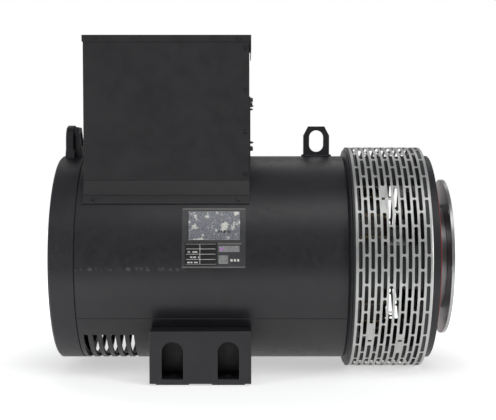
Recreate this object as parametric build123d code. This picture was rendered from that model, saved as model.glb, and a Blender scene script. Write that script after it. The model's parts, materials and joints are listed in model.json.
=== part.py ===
from build123d import *
import os
from math import acos, cos, degrees, pi, radians, sin

# Single-bearing brushless alternator head, in millimetres.
# +X runs along the shaft towards the engine and +Z is up. The origin is on the shaft axis, in the
# outer face of the coupling discs. The terminal box is on top, and its screwed side faces -Y.

# ---- driving dimensions: interface ----
SHAFT_HEIGHT = 250.0  # shaft axis above the soles of the feet
STAND_OUT = 39.6  # coupling discs' outer face beyond the housing flange's face
FLANGE_R = 230.5
FLANGE_PCD = 428.6
FLANGE_HOLES = 12
FLANGE_HOLE_R = 5.5
SPIGOT_R = 204.8
SPIGOT_LENGTH = 6.4
DISC_R = 176.2
DISC_PACK = 7.0
DISC_PCD = 333.4
DISC_HOLES = 8
DISC_HOLE_R = 5.5
DISC_BORE_R = 52.0

# ---- driving dimensions: frame ----
FRAME_R = 230.0
FRAME_WALL = 8.0
FRAME_LENGTH = 582.0
SHIELD_DEPTH = 56.0
NOSE_RING = 12.0  # cone between the rolled frame and the guard
GUARD_R = FRAME_R + 20.0
GUARD_T = 1.5
GUARD_WIDTH = 163.0
PUNCH_ROWS = 12
PUNCH_STEP = 62.8  # from one slot to the next round the band
PUNCH_PITCH = 13.0
PUNCH_LENGTH = 58.3
PUNCH_WIDTH = 7.4
PUNCH_START = -1.2  # angle above the near horizontal at which the first row's cells begin
HOOK_HOLE = 7.0
HOOKS = [(4, 34.8), (2, 131.4), (7, 131.4), (4, 207.6), (2, 318.6), (7, 318.6)]  # row and angle of each
FLANGE_EDGE = 18.4  # flange edge left bare beside the guard
FLANGE_PLATE = 34.4  # thickness of the flange plate at its root
FLANGE_BORE_R = 164.0
NOSE_WALL = 19.0  # step from the rolled frame's bore to the drive-end frame's
RIB_COUNT = 6
RIB_ANGLE = 22.0
RIB_SINK = 9.0  # ribs' outer faces below the guard
SEAT_WIDTH = 10.0  # shoulder that the guard's rear edge lies on
WINDOW_FILLET = 14.0
JOINT_GROOVE = 1.6  # open joint between the rear shield's rim and the rolled frame
REGISTER = 8.0  # length of the end frames' registers in the rolled frame

# ---- driving dimensions: air slots in the rolled frame ----
SLOT_WIDTH = 10.4
SLOT_PITCH = 20.0
SLOT_COUNT = 6
SLOT_TOP_ANGLE = 42.5  # below the horizontal
SLOT_BRIDGE_ANGLE = 5.0
SLOT_FIRST = 15.0  # first slot's centre from the frame's rear end

# ---- driving dimensions: electrical parts ----
CORE_DUCT = 8.0  # air duct between the core and the rolled frame
CORE_DEPTH = 64.0
AIR_GAP = 1.5
CORE_LENGTH = 335.0
CORE_BARS = 8
CORE_BAR_WIDTH = 40.0
CORE_BAR_SHORT = 10.0
CORE_FROM_FRAME = 32.0  # stator core's drive end inside the frame's end
WINDING_DEPTH = 45.0  # end winding's outside over the core's bore
WINDING_LIFT = 4.0
OVERHANG_DRIVE = 121.0
OVERHANG_REAR = 85.0
SHAFT_CORE_R = 52.0
SHAFT_HUB_R = 50.0
BEARING_BORE_R = 35.0
BEARING_R = 75.0
BEARING_WIDTH = 35.0
BALL_COUNT = 8
BALL_R = 12.4
BALL_CLEARANCE = 0.3

# ---- driving dimensions: terminal box ----
BOX_LENGTH = 357.7
BOX_WIDTH = 322.0
BOX_BASE_Z = FRAME_R - 50.0
BOX_TOP_Z = FRAME_R + 262.0
BOX_FROM_FRAME_REAR = 13.3
SHEET = 2.0
LID_LIP = 14.5
LID_LIP_DRIVE = 34.0
LID_OVERHANG = 2.2
LID_OVERHANG_DRIVE = 4.0
FLARE_DROP = 35.0
FLARE_OUT = 15.0
SADDLE_FLANGE_ANGLE = 5.3
SADDLE_FLANGE_TUCK = 0.3915  # flange's upper edge below the line where the flare meets the frame
SADDLE_FLANGE_T = 3.0

# ---- driving dimensions: feet and lifting points ----
FOOT_LENGTH = 215.0
FOOT_WIDTH = 490.0  # over both feet
FOOT_BACK = 95.0  # foot's top above the bottom of the rolled frame
FOOT_FROM_DRIVE = 207.0  # feet's drive end from the rolled frame's drive end
FOOT_DEPTH = 95.0
FOOT_PLATE = 8.0
FOOT_SOLE = 10.0
PAD_HEIGHT = 3.0
PAD_WIDTH = 70.0
ARCH_WIDTH = 45.0
ARCH_SPACING = 118.0
ARCH_BELOW_TOP = 23.0
FOOT_GAUGE = 406.0  # bolt spacing across the shaft
FOOT_HOLE_R = 12.0
EYE_WIDTH = 59.0
EYE_TOP_Z = FRAME_R + 68.0
EYE_THICKNESS = 14.0
EYE_FROM_DRIVE = 58.0
EYE_HOLE_WIDTH = 32.4
EYE_HOLE_HEIGHT = 49.0
EYE_HOLE_TOP = 9.0
LUG_TOP_Z = FRAME_R + 70.0
LUG_WIDTH = 64.0
LUG_FROM_REAR = 11.0
LUG_PLATE = 20.0
LUG_THICKNESS = 29.0  # plate and rib at the top
LUG_RIB = 50.0
LUG_FOOT = 10.0  # how far the lug's foot swells on each side
LUG_EDGE = 3.0
LUG_HOLE_R = 17.0
LUG_HOLE_Z = LUG_TOP_Z - LUG_WIDTH / 2

# ---- clearances ----
FIT = 0.03  # bore seated on its shaft or spigot
SEAT = 0.15  # sheet or casting laid on a curved face
BOLT_CLEARANCE = 0.3
SHEET_GAP = 0.1  # between the folded sheets of the terminal box

# ---- stations along the shaft ----
X_FLANGE = -STAND_OUT
X_GUARD_DRIVE = X_FLANGE - FLANGE_EDGE
X_GUARD_REAR = X_GUARD_DRIVE - GUARD_WIDTH
X_FRAME_DRIVE = X_GUARD_REAR - NOSE_RING
X_FRAME_REAR = X_FRAME_DRIVE - FRAME_LENGTH
X_REAR = X_FRAME_REAR - SHIELD_DEPTH
X_PLATE = X_FLANGE - FLANGE_PLATE
X_WINDOW = X_GUARD_REAR + SEAT_WIDTH
X_CORE_DRIVE = X_FRAME_DRIVE - CORE_FROM_FRAME
X_CORE_REAR = X_CORE_DRIVE - CORE_LENGTH
FRAME_BORE_R = FRAME_R - FRAME_WALL
FOOT_TOP_Z = FOOT_BACK - FRAME_R
ARCH_TOP_Z = FOOT_TOP_Z - ARCH_BELOW_TOP
NOSE_BORE_R = FRAME_BORE_R - NOSE_WALL
RIB_INNER_R = FRAME_BORE_R
RIB_OUTER_R = GUARD_R - RIB_SINK
CORE_OUTER_R = FRAME_BORE_R - CORE_DUCT
BORE_R = CORE_OUTER_R - CORE_DEPTH
WINDING_R = BORE_R + WINDING_DEPTH
WINDING_INNER_R = BORE_R + WINDING_LIFT
FLARE_Z = BOX_BASE_Z - FLARE_DROP

# ---- driving dimensions: fasteners, seats and the ends, tied to the frame ----
LEAD_HOLE = 70.0
BOSS_LENGTH = 22.0
BOSS_WIDTH = 30.0
BOSS_DEPTH = 17.0
BOLT_M12 = 12.0
BOLT_M12_FLATS = 18.0
BOLT_M12_HEAD = 7.5
FRAME_BOLT_R = FRAME_BORE_R - 8.0
DRIVE_BOLT_ANGLES = [30.0 + 60.0 * k for k in range(6)]
REAR_BOLT_ANGLES = [30.0, 90.0, 150.0, 200.0, 340.0]
X_FOOT_DRIVE = X_FRAME_DRIVE - FOOT_FROM_DRIVE
X_FOOT_MIDDLE = X_FOOT_DRIVE - FOOT_LENGTH / 2
X_SHIELD_WALL = X_REAR + 10.0
SHIELD_WALL = 9.0
BOSS_R = 92.0
SHIELD_RIM = 4.0  # rim's extra thickness over the rolled frame's wall
SHIELD_EDGE = 4.0
SHIELD_SPOKES = 6
SHIELD_AIR_INNER_R = 98.0
SHIELD_AIR_OUTER_R = FRAME_R - 40.0
SHIELD_AIR_ANGLE = 38.0
SHIELD_BOSS_SHIFT = 4.0
SPOKE_T = 10.0
SPOKE_ROOT = 3.0
SPOKE_SHORT = 12.0
BEARING_SHOULDER = 12.0
EXCITER_POSTS = 4
EXCITER_POST = 22.0
X_BEARING = X_SHIELD_WALL + SHIELD_WALL + BEARING_WIDTH / 2
EXCITER_POST_R = 150.0
EXCITER_LENGTH = 70.0
X_EXCITER = X_FRAME_REAR + 50.0
X_SHAFT_REAR = X_SHIELD_WALL + 3.0
X_HUB_REAR = -132.0
HUB_SLEEVE_R = 70.0
HUB_NECK_R = 79.0
HUB_FLANGE_R = 118.0
HUB_FLANGE = 20.0
DISC_BOLT_R = 100.0
DISC_BOLTS = 12
CLAMP_RING = 6.0
CLAMP_BORE_R = 72.0
FAN_R = 150.0
FAN_REAR = -90.0
FAN_FRONT = -73.0
FAN_PLATE = 4.0
FAN_HUB_R = 84.0
FAN_BLADES = 12
FAN_LEAN = 26.0  # degrees that a blade's tip trails its root
FAN_BLADE_T = 4.0
YOKE = 77.8
POLE_HALF = 50.0
SHOE_T = 27.5
SHOE_Z = BORE_R - AIR_GAP - SHOE_T
SHOE_HALF = 84.0
COIL_WIDTH = 23.0
COIL_HEAD = 32.0
DISC_BOLT_START = 4.0
DISC_HOLE_START = 3.5
EXCITER_BORE_R = 120.0
EXCITER_R = 172.0
X_RECTIFIER = X_FRAME_REAR + 8.0
RECTIFIER_T = 10.0
BALL_PATH_R = 55.0
RACE_THICKNESS = 11.0
X_BOX_REAR = X_FRAME_REAR + BOX_FROM_FRAME_REAR
X_BOX_DRIVE = X_BOX_REAR + BOX_LENGTH
HALF_W = BOX_WIDTH / 2
SADDLE_ANGLE = degrees(acos((HALF_W + FLARE_OUT) / FRAME_R))
PANEL_TOP = BOX_TOP_Z - SHEET - 2 * SHEET_GAP
GLAND_HALF = 145.0
GLAND_PLATE = 2.3
GLAND_Z0 = FRAME_R - 14.0
GLAND_Z1 = GLAND_Z0 + 145.0
GLAND_LAND = 30.0  # cover plate's overlap round the cable opening
PANEL_FOLD = 20.0
GLAND_BOLT_LOW = GLAND_Z0 + 32.0
GLAND_BOLT_HIGH = GLAND_Z1 - 7.0
GLAND_STUD_STEP = 13.5
GLAND_STUD_R = 2.5
GLAND_STUD_OUT = 7.0
SADDLE_SCREW_R = 5.5
SADDLE_SCREW_HEAD = 4.0
SADDLE_SCREW_REAR = 25.0
SADDLE_SCREW_DRIVE = 23.0
LID_SCREW_X = [X_BOX_REAR + 24.7, X_BOX_DRIVE - 23.0]
LID_SCREW_DOWN = 8.0
PANEL_SCREW_IN = 8.0
PANEL_SCREW_Z = [BOX_BASE_Z + 14.0 + 90.3 * k for k in range(4)]
SHEET_SCREW_R = 5.0
SHEET_SCREW_HEAD = 3.0
TRAY_Z = FRAME_R + 10.0
TRAY = 3.0
COVER_R = FRAME_R - 30.0
COVER_FIRST_R = 110.0
COVER_PITCH = 20.0
COVER_SLOT = 9.0
COVER_SLOT_ANGLE = 34.0
COVER_ROWS = int((COVER_R - COVER_PITCH - COVER_FIRST_R) // COVER_PITCH) + 1
COVER_SCREW_R = COVER_R - 14.0
X_BOARD = X_BOX_REAR + 95.0
BOARD_LENGTH = 120.0
BOARD_WIDTH = 150.0
BOARD_T = 14.0
BOARD_FEET = 22.0
BOARD_Y = -50.0
STUD_R = 6.0
STUD_ROWS = 2
STUD_COLUMNS = 3
STUD_PITCH = 40.0
EARTH_STUD_R = 5.0
EARTH_STUD_LENGTH = 30.0
EARTH_NUT_FLATS = 17.0
EARTH_NUT_T = 8.0
EARTH_Y = 70.0
X_REGULATOR = X_BOX_DRIVE - 110.0
REGULATOR_LENGTH = 110.0
REGULATOR_WIDTH = 150.0
REGULATOR_T = 38.0
REGULATOR_Z = TRAY_Z + 90.0
REGULATOR_Y = HALF_W - 43.0
TRIMMER_R = 5.0
TRIMMER_GAP = 0.3
TRIMMER_Z = REGULATOR_Z + REGULATOR_WIDTH / 2 - 20
LABEL_LENGTH = 135.0
LABEL_ANGLE = 32.6
LABEL_BELOW = 8.1737  # upper edge below that line
LABEL_T = 0.5
X_LABEL = X_FRAME_DRIVE - 354.0

PARTS = {}


def keep(name, shape):
    """Records one node of the assembly, as a single solid or a group of separate solids."""
    PARTS[name] = shape


def turned(points):
    """Revolves a closed outline of (x, radius) points about the shaft axis."""
    outline = make_face(Polyline([(x, r) for x, r in points], close=True))
    return revolve(outline, axis=Axis.X)


def ring(x_from, x_to, r_outer, r_inner=0.0):
    """Plain ring or disc about the shaft axis."""
    upward = (Align.CENTER, Align.CENTER, Align.MIN)
    body = Plane.YZ.offset(x_from) * Cylinder(r_outer, x_to - x_from, align=upward)
    if r_inner > 0:
        body -= Plane.YZ.offset(x_from) * Cylinder(
            r_inner, x_to - x_from, align=(Align.CENTER, Align.CENTER, Align.MIN)
        )
    return body


def block(x0, x1, y0, y1, z0, z1):
    """Box between two corners."""
    return Pos(x0, y0, z0) * Box(x1 - x0, y1 - y0, z1 - z0, align=(Align.MIN, Align.MIN, Align.MIN))


def at_angle(angle):
    """Turn about the shaft axis that carries +Z to an elevation measured from +Y."""
    return Rot(angle - 90.0, 0, 0)


def rod_x(x_from, x_to, y, z, r):
    """Cylinder along the shaft's direction."""
    return Pos(x_from, y, z) * Rot(0, 90, 0) * Cylinder(
        r, x_to - x_from, align=(Align.CENTER, Align.CENTER, Align.MIN)
    )


def around(shape, count, start=0.0):
    """Copies of a shape made at +Z, spaced evenly about the shaft axis."""
    return [at_angle(start + k * 360.0 / count) * shape for k in range(count)]


def bolt(head_flats, head_height, shank_r, shank_length):
    """Hexagon bolt along Z, seated at z = 0, with its head above and its shank below."""
    head = extrude(RegularPolygon(head_flats / 2, 6, major_radius=False), head_height)
    shank = Pos(0, 0, -shank_length) * Cylinder(
        shank_r, shank_length, align=(Align.CENTER, Align.CENTER, Align.MIN)
    )
    return head + shank


def along_x(shape, x, y, z, heads_to_drive=True):
    """Places a bolt made along Z so that it lies along the shaft's direction."""
    return Pos(x, y, z) * Rot(0, 90 if heads_to_drive else -90, 0) * shape


# ---- rolled frame ----
def main_housing():
    """Rolled tube with air slots below its rear end, bolt bosses inside both ends and a lead hole on top."""
    tube = ring(X_FRAME_REAR, X_FRAME_DRIVE, FRAME_R, FRAME_BORE_R)
    cuts = []
    half = 90.0 - SLOT_TOP_ANGLE - SLOT_BRIDGE_ANGLE / 2
    for k in range(SLOT_COUNT):
        x = X_FRAME_REAR + SLOT_FIRST + k * SLOT_PITCH
        outline = Pos(x, (FRAME_R + FRAME_BORE_R) / 2) * Rectangle(SLOT_WIDTH, 3 * FRAME_WALL)
        sector = revolve(outline, axis=Axis.X, revolution_arc=half)
        for start in (-90.0 + SLOT_BRIDGE_ANGLE / 2, -90.0 - SLOT_BRIDGE_ANGLE / 2 - half):
            cuts.append(Rot(start, 0, 0) * sector)
    lead_hole = Pos(X_CORE_REAR - OVERHANG_REAR / 2, 0, FRAME_R) * Box(LEAD_HOLE, LEAD_HOLE, 6 * FRAME_WALL)
    tube = tube.cut(*cuts, lead_hole)
    ends = (
        (X_FRAME_DRIVE - REGISTER - SEAT - BOSS_LENGTH, DRIVE_BOLT_ANGLES),
        (X_FRAME_REAR + REGISTER + SEAT, REAR_BOLT_ANGLES),
    )
    for x, angles in ends:
        boss = block(
            x,
            x + BOSS_LENGTH,
            -BOSS_WIDTH / 2,
            BOSS_WIDTH / 2,
            FRAME_BORE_R - BOSS_DEPTH,
            FRAME_R - FRAME_WALL / 2,
        )
        boss -= rod_x(x, x + BOSS_LENGTH, 0, FRAME_BOLT_R, BOLT_M12 / 2 + BOLT_CLEARANCE)
        tube = tube.fuse(*[at_angle(angle) * boss for angle in angles])
    return tube


# ---- feet ----


def foot(side):
    """Welded foot: face plate with two arches, top plate, end plates, middle web, sole and two pads."""
    y_face = FOOT_WIDTH / 2
    sole_z = -SHAFT_HEIGHT + PAD_HEIGHT
    x0 = X_FOOT_DRIVE - FOOT_LENGTH
    body = block(x0, X_FOOT_DRIVE, y_face - FOOT_DEPTH, y_face, sole_z, FOOT_TOP_Z)
    y_in = y_face - FOOT_DEPTH + FOOT_PLATE
    bay = (FOOT_LENGTH - 3 * FOOT_PLATE) / 2
    for k in range(2):
        x = x0 + FOOT_PLATE + k * (bay + FOOT_PLATE)
        body -= block(x, x + bay, y_in, y_face - FOOT_PLATE, sole_z + FOOT_SOLE, FOOT_TOP_Z - FOOT_PLATE)
    for k in (-1, 1):
        x = X_FOOT_MIDDLE + k * ARCH_SPACING / 2
        low = sole_z + FOOT_SOLE
        crown_z = ARCH_TOP_Z - ARCH_WIDTH / 2
        arch = block(x - ARCH_WIDTH / 2, x + ARCH_WIDTH / 2, y_face - 2 * FOOT_PLATE, y_face + 1, low, crown_z)
        arch += Pos(x, y_face - FOOT_PLATE, crown_z) * Rot(90, 0, 0) * Cylinder(ARCH_WIDTH / 2, 3 * FOOT_PLATE)
        body -= arch
        body += block(
            x - PAD_WIDTH / 2, x + PAD_WIDTH / 2, y_face - FOOT_DEPTH + 5, y_face - 4, -SHAFT_HEIGHT, sole_z
        )
        body -= Pos(x, FOOT_GAUGE / 2, -SHAFT_HEIGHT) * Cylinder(FOOT_HOLE_R, 4 * FOOT_SOLE)
    body -= ring(x0 - 1, X_FOOT_DRIVE + 1, FRAME_R + SEAT)
    return body if side > 0 else mirror(body, about=Plane.XZ)


# ---- lifting points ----
def lifting_eye():
    """Plate with cropped corners and a long round-ended hole, welded to the frame's crown."""
    x = X_FRAME_DRIVE - EYE_FROM_DRIVE
    half = EYE_WIDTH / 2
    foot_z = FRAME_R - 4.0
    outline = make_face(
        Polyline(
            (-half, foot_z),
            (-half, EYE_TOP_Z - 21),
            (-half + 11, EYE_TOP_Z),
            (half - 11, EYE_TOP_Z),
            (half, EYE_TOP_Z - 21),
            (half, foot_z),
            close=True,
        )
    )
    centre_z = EYE_TOP_Z - EYE_HOLE_TOP - EYE_HOLE_HEIGHT / 2
    hole = Pos(0, centre_z) * Rot(0, 0, 90) * SlotOverall(EYE_HOLE_HEIGHT, EYE_HOLE_WIDTH)
    plate = extrude(Plane.XZ * (outline - hole), EYE_THICKNESS / 2, both=True)
    return Pos(x, 0, 0) * plate - ring(x - EYE_WIDTH, x + EYE_WIDTH, FRAME_R + SEAT)


# ---- rear shield ----


def rear_shield():
    """Cast end shield: rim, spoked end wall, bearing boss, bolt bosses, exciter posts and lifting lug."""
    rim_in = FRAME_BORE_R - SHIELD_RIM
    wall_to = X_SHIELD_WALL + SHIELD_WALL
    shell = turned(
        [
            (X_REAR + SHIELD_EDGE, FRAME_R),
            (X_FRAME_REAR - JOINT_GROOVE, FRAME_R),
            (X_FRAME_REAR - JOINT_GROOVE, FRAME_R - 2 * JOINT_GROOVE),
            (X_FRAME_REAR, FRAME_R - 2 * JOINT_GROOVE),
            (X_FRAME_REAR, FRAME_BORE_R - FIT),
            (X_FRAME_REAR + REGISTER, FRAME_BORE_R - FIT),
            (X_FRAME_REAR + REGISTER, rim_in - 2),
            (X_FRAME_REAR, rim_in - 2),
            (wall_to + 8, rim_in),
            (wall_to, rim_in - 8),
            (wall_to, BOSS_R),
            (X_FRAME_REAR - 2, BOSS_R - 4),
            (X_FRAME_REAR - 2, BEARING_R + FIT),
            (wall_to, BEARING_R + FIT),
            (wall_to, BEARING_R - BEARING_SHOULDER),
            (X_SHIELD_WALL, BEARING_R - BEARING_SHOULDER),
            (X_SHIELD_WALL, rim_in),
            (X_REAR, rim_in),
            (X_REAR, FRAME_R - SHIELD_EDGE),
        ]
    )
    window = Pos(X_SHIELD_WALL + SHIELD_WALL / 2, (SHIELD_AIR_INNER_R + SHIELD_AIR_OUTER_R) / 2) * Rectangle(
        3 * SHIELD_WALL, SHIELD_AIR_OUTER_R - SHIELD_AIR_INNER_R
    )
    window = revolve(window, axis=Axis.X, revolution_arc=SHIELD_AIR_ANGLE)
    step = 360.0 / SHIELD_SPOKES
    first = (step - SHIELD_AIR_ANGLE) / 2
    shell = shell.cut(*[Rot(k * step + first, 0, 0) * window for k in range(SHIELD_SPOKES)])
    half = SPOKE_T / 2
    top = rim_in - 2 * SPOKE_ROOT
    spoke = block(wall_to - 1, X_FRAME_REAR - SPOKE_SHORT, -half, half, BOSS_R - SPOKE_ROOT, top)
    shell = shell.fuse(*around(spoke, SHIELD_SPOKES))
    post = rod_x(wall_to - 1, X_EXCITER, 0, EXCITER_POST_R, EXCITER_POST / 2)
    shell = shell.fuse(*around(post, EXCITER_POSTS, 180.0 / EXCITER_POSTS))
    boss_middle = FRAME_BOLT_R - SHIELD_BOSS_SHIFT
    boss = rod_x(wall_to - 1, X_FRAME_REAR + REGISTER, 0, boss_middle, FRAME_BORE_R - 2 * FIT - boss_middle)
    hole = rod_x(X_REAR, X_FRAME_REAR + 2 * REGISTER, 0, FRAME_BOLT_R, BOLT_M12 / 2 + BOLT_CLEARANCE)
    spot_face = rod_x(X_REAR - 1, X_SHIELD_WALL, 0, FRAME_BOLT_R, BOLT_M12_FLATS / 2 / cos(pi / 6) + 1)
    shell = shell.fuse(*[at_angle(angle) * boss for angle in REAR_BOLT_ANGLES])
    shell = shell.cut(*[at_angle(angle) * (hole + spot_face) for angle in REAR_BOLT_ANGLES])
    return shell + lug()


def lug():
    """Lifting lug on the shield's crown: a plate across the shaft, its hole along it, and a rib behind."""
    x0 = X_REAR + LUG_FROM_REAR
    half = LUG_WIDTH / 2
    low = FRAME_R - 8.0
    foot_r = LUG_FOOT
    face = make_face(
        Polyline(
            (-half - foot_r, low),
            (-half, low + 2 * foot_r),
            (-half, LUG_HOLE_Z),
            (half, LUG_HOLE_Z),
            (half, low + 2 * foot_r),
            (half + foot_r, low),
            close=True,
        )
    )
    crown = face + Pos(0, LUG_HOLE_Z) * Circle(half)
    plate = extrude(Plane.YZ.offset(x0) * crown, LUG_PLATE)
    plate = chamfer(plate.edges().filter_by(GeomType.CIRCLE), LUG_EDGE)
    rib_profile = make_face(
        Polyline(
            (x0 + LUG_PLATE - 1, low),
            (x0 + LUG_PLATE - 1, LUG_TOP_Z - LUG_EDGE),
            (x0 + LUG_THICKNESS, LUG_TOP_Z - LUG_EDGE - 2),
            (x0 + LUG_THICKNESS + LUG_FOOT / 2, low + 3 * LUG_FOOT),
            (x0 + LUG_THICKNESS + LUG_FOOT, low),
            close=True,
        )
    )
    rib = extrude(Plane.XZ * rib_profile, LUG_RIB / 2, both=True)
    body = plate + rib
    body -= rod_x(x0 - 1, x0 + 3 * LUG_THICKNESS, 0, LUG_HOLE_Z, LUG_HOLE_R)
    return body - ring(X_REAR, X_FRAME_REAR, FRAME_R - 3)


def rear_cover():
    """Sheet disc let into the shield's rim, with rows of arc-shaped air slots."""
    x = X_SHIELD_WALL - SHEET
    disc = ring(x, X_SHIELD_WALL, COVER_R)
    cuts = []
    step = 360.0 / SHIELD_SPOKES
    for row in range(COVER_ROWS):
        outline = Pos(x + SHEET / 2, COVER_FIRST_R + row * COVER_PITCH) * Rectangle(3 * SHEET, COVER_SLOT)
        sector = revolve(outline, axis=Axis.X, revolution_arc=COVER_SLOT_ANGLE)
        cuts += [Rot(k * step + (step - COVER_SLOT_ANGLE) / 2, 0, 0) * sector for k in range(SHIELD_SPOKES)]
    return disc.cut(*cuts)


# ---- drive-end frame ----
def drive_end_frame():
    """Cast drive-end frame: cone, guard seats, six ribs between six windows, flange and spigot."""
    seat_r = GUARD_R - GUARD_T - SEAT
    body = turned(
        [
            (X_FRAME_DRIVE - REGISTER, NOSE_BORE_R),
            (X_FRAME_DRIVE - REGISTER, FRAME_BORE_R - FIT),
            (X_FRAME_DRIVE, FRAME_BORE_R - FIT),
            (X_FRAME_DRIVE, FRAME_R),
            (X_GUARD_REAR - 8, GUARD_R - 6),
            (X_GUARD_REAR - 6, GUARD_R - 6),
            (X_GUARD_REAR - 4, GUARD_R),
            (X_GUARD_REAR, GUARD_R),
            (X_GUARD_REAR, seat_r),
            (X_WINDOW, seat_r),
            (X_WINDOW, RIB_OUTER_R),
            (X_PLATE, RIB_OUTER_R),
            (X_PLATE, seat_r),
            (X_GUARD_DRIVE, seat_r),
            (X_GUARD_DRIVE, FLANGE_R),
            (X_FLANGE, FLANGE_R),
            (X_FLANGE, SPIGOT_R),
            (X_FLANGE + SPIGOT_LENGTH - 1, SPIGOT_R),
            (X_FLANGE + SPIGOT_LENGTH, SPIGOT_R - 1),
            (X_FLANGE + SPIGOT_LENGTH, FLANGE_BORE_R),
            (X_PLATE, FLANGE_BORE_R),
            (X_PLATE, RIB_INNER_R - 8),
            (X_PLATE - 8, RIB_INNER_R),
            (X_WINDOW + 8, RIB_INNER_R),
            (X_WINDOW, RIB_INNER_R - 8),
            (X_WINDOW, NOSE_BORE_R),
        ]
    )
    arc = 360.0 / RIB_COUNT - RIB_ANGLE
    inner = RIB_INNER_R - 12.0
    outer = GUARD_R + 10.0
    opening = make_face(
        Polyline((X_WINDOW, inner), (X_WINDOW, outer), (X_PLATE, outer), (X_PLATE, inner), close=True)
    )
    window = revolve(opening, axis=Axis.X, revolution_arc=arc)
    corners = [e for e in window.edges() if e.geom_type == GeomType.LINE and abs((e @ 1 - e @ 0).X) < 1e-3]
    window = fillet(corners, WINDOW_FILLET)
    body = body.cut(*[Rot(RIB_ANGLE / 2 + k * 360.0 / RIB_COUNT, 0, 0) * window for k in range(RIB_COUNT)])
    holes = around(
        rod_x(X_PLATE - 1, X_FLANGE + 1, 0, FLANGE_PCD / 2, FLANGE_HOLE_R), FLANGE_HOLES, 180.0 / FLANGE_HOLES
    )
    fixing = rod_x(X_FRAME_DRIVE - 2 * REGISTER, X_WINDOW + 1, 0, FRAME_BOLT_R, BOLT_M12 / 2 + BOLT_CLEARANCE)
    fixings = [at_angle(a) * fixing for a in DRIVE_BOLT_ANGLES]
    return body.cut(*holes, *fixings)


def guard_punch(length, width):
    """Punch for one hole in the band, made at +Z with its length round the band."""
    return Pos(0, 0, GUARD_R) * Box(width, length, 8 * GUARD_T)


def outlet_guard():
    """Band round the air windows, punched with staggered rows of long slots.
    A few cells keep their metal and have one small hole instead, where the band is hooked and strapped."""
    band = ring(X_GUARD_REAR + SEAT, X_GUARD_DRIVE, GUARD_R, GUARD_R - GUARD_T)
    slot = guard_punch(PUNCH_LENGTH, PUNCH_WIDTH)
    hook = guard_punch(HOOK_HOLE, HOOK_HOLE)
    count = round(2 * pi * GUARD_R / PUNCH_STEP)
    cell = 360.0 / count
    first = X_GUARD_REAR + (GUARD_WIDTH - (PUNCH_ROWS - 1) * PUNCH_PITCH) / 2
    tools = []
    for row in range(PUNCH_ROWS):
        start = PUNCH_START + (row % 2) * cell / 2
        hooks = [angle for hook_row, angle in HOOKS if hook_row == row]
        kept = [int((angle - start) // cell) for angle in hooks]
        angles = [start + (k + 0.5) * cell for k in range(count) if k not in kept]
        place = Pos(first + row * PUNCH_PITCH, 0, 0)
        tools += [at_angle(180 - angle) * place * slot for angle in angles]
        tools += [at_angle(180 - angle) * place * hook for angle in hooks]
    return band.cut(*tools)


# ---- stator ----
def stator_core():
    """Laminated ring."""
    return ring(X_CORE_REAR, X_CORE_DRIVE, CORE_OUTER_R, BORE_R)


def core_bars():
    """Longitudinal bars that hold the core inside the frame and leave air ducts between them."""
    rear = X_CORE_REAR + CORE_BAR_SHORT
    bar = ring(rear, X_CORE_DRIVE - CORE_BAR_SHORT, FRAME_BORE_R - SEAT, CORE_OUTER_R + FIT)
    middle = (X_CORE_REAR + X_CORE_DRIVE) / 2
    slab = Pos(middle, 0, FRAME_BORE_R) * Box(CORE_LENGTH, CORE_BAR_WIDTH, FRAME_WALL * 5)
    bar = bar & slab
    return around(bar, CORE_BARS, 180.0 / CORE_BARS)


def overhang(x_core, length):
    """End winding: a thick ring with rounded crown that leans outwards."""
    outline = make_face(
        Polyline(
            (x_core, WINDING_INNER_R + 2),
            (x_core + length * 0.86, WINDING_INNER_R),
            (x_core + length, WINDING_INNER_R + 12),
            (x_core + length, WINDING_R - 14),
            (x_core + length * 0.86, WINDING_R),
            (x_core, WINDING_R - 8),
            close=True,
        )
    )
    return revolve(outline, axis=Axis.X)


# ---- rotor ----


def shaft():
    """Stepped shaft."""
    steps = [
        (X_SHAFT_REAR, BEARING_BORE_R),
        (X_BEARING + BEARING_WIDTH / 2, 45.0),
        (X_CORE_REAR - 40, SHAFT_CORE_R),
        (X_CORE_DRIVE + 40, SHAFT_HUB_R),
    ]
    outline = [(X_SHAFT_REAR, 0.0)]
    ends = [x for x, _ in steps[1:]] + [-DISC_PACK - 1.0]
    for (x, r), end in zip(steps, ends):
        outline += [(x, r), (end, r)]
    outline.append((ends[-1], 0.0))
    return turned(outline)


def rotor_core():
    """Laminated four-pole core: square yoke, pole bodies and pole shoes."""
    profile = Rectangle(2 * YOKE, 2 * YOKE)
    for k in range(4):
        body = Pos(0, SHOE_Z / 2) * Rectangle(2 * POLE_HALF, SHOE_Z)
        shoe = (Circle(BORE_R - AIR_GAP)) & (Pos(0, SHOE_Z + 50) * Rectangle(2 * SHOE_HALF, 100))
        profile = profile + Rot(0, 0, 90 * k) * (body + shoe)
    profile -= Circle(SHAFT_CORE_R + FIT)
    return extrude(Plane.YZ.offset(X_CORE_REAR) * profile, CORE_LENGTH)


def rotor_coils():
    """One rectangular coil round each pole body."""
    z0 = YOKE + 0.3
    z1 = SHOE_Z - 0.8
    inner = POLE_HALF + 0.3
    outer = inner + COIL_WIDTH
    coil = block(
        X_CORE_REAR - COIL_HEAD, X_CORE_DRIVE + COIL_HEAD, -outer, outer, z0, z1
    )
    coil -= block(X_CORE_REAR - 0.3, X_CORE_DRIVE + 0.3, -inner, inner, z0 - 1, z1 + 1)
    return around(coil, 4, 90)


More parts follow.
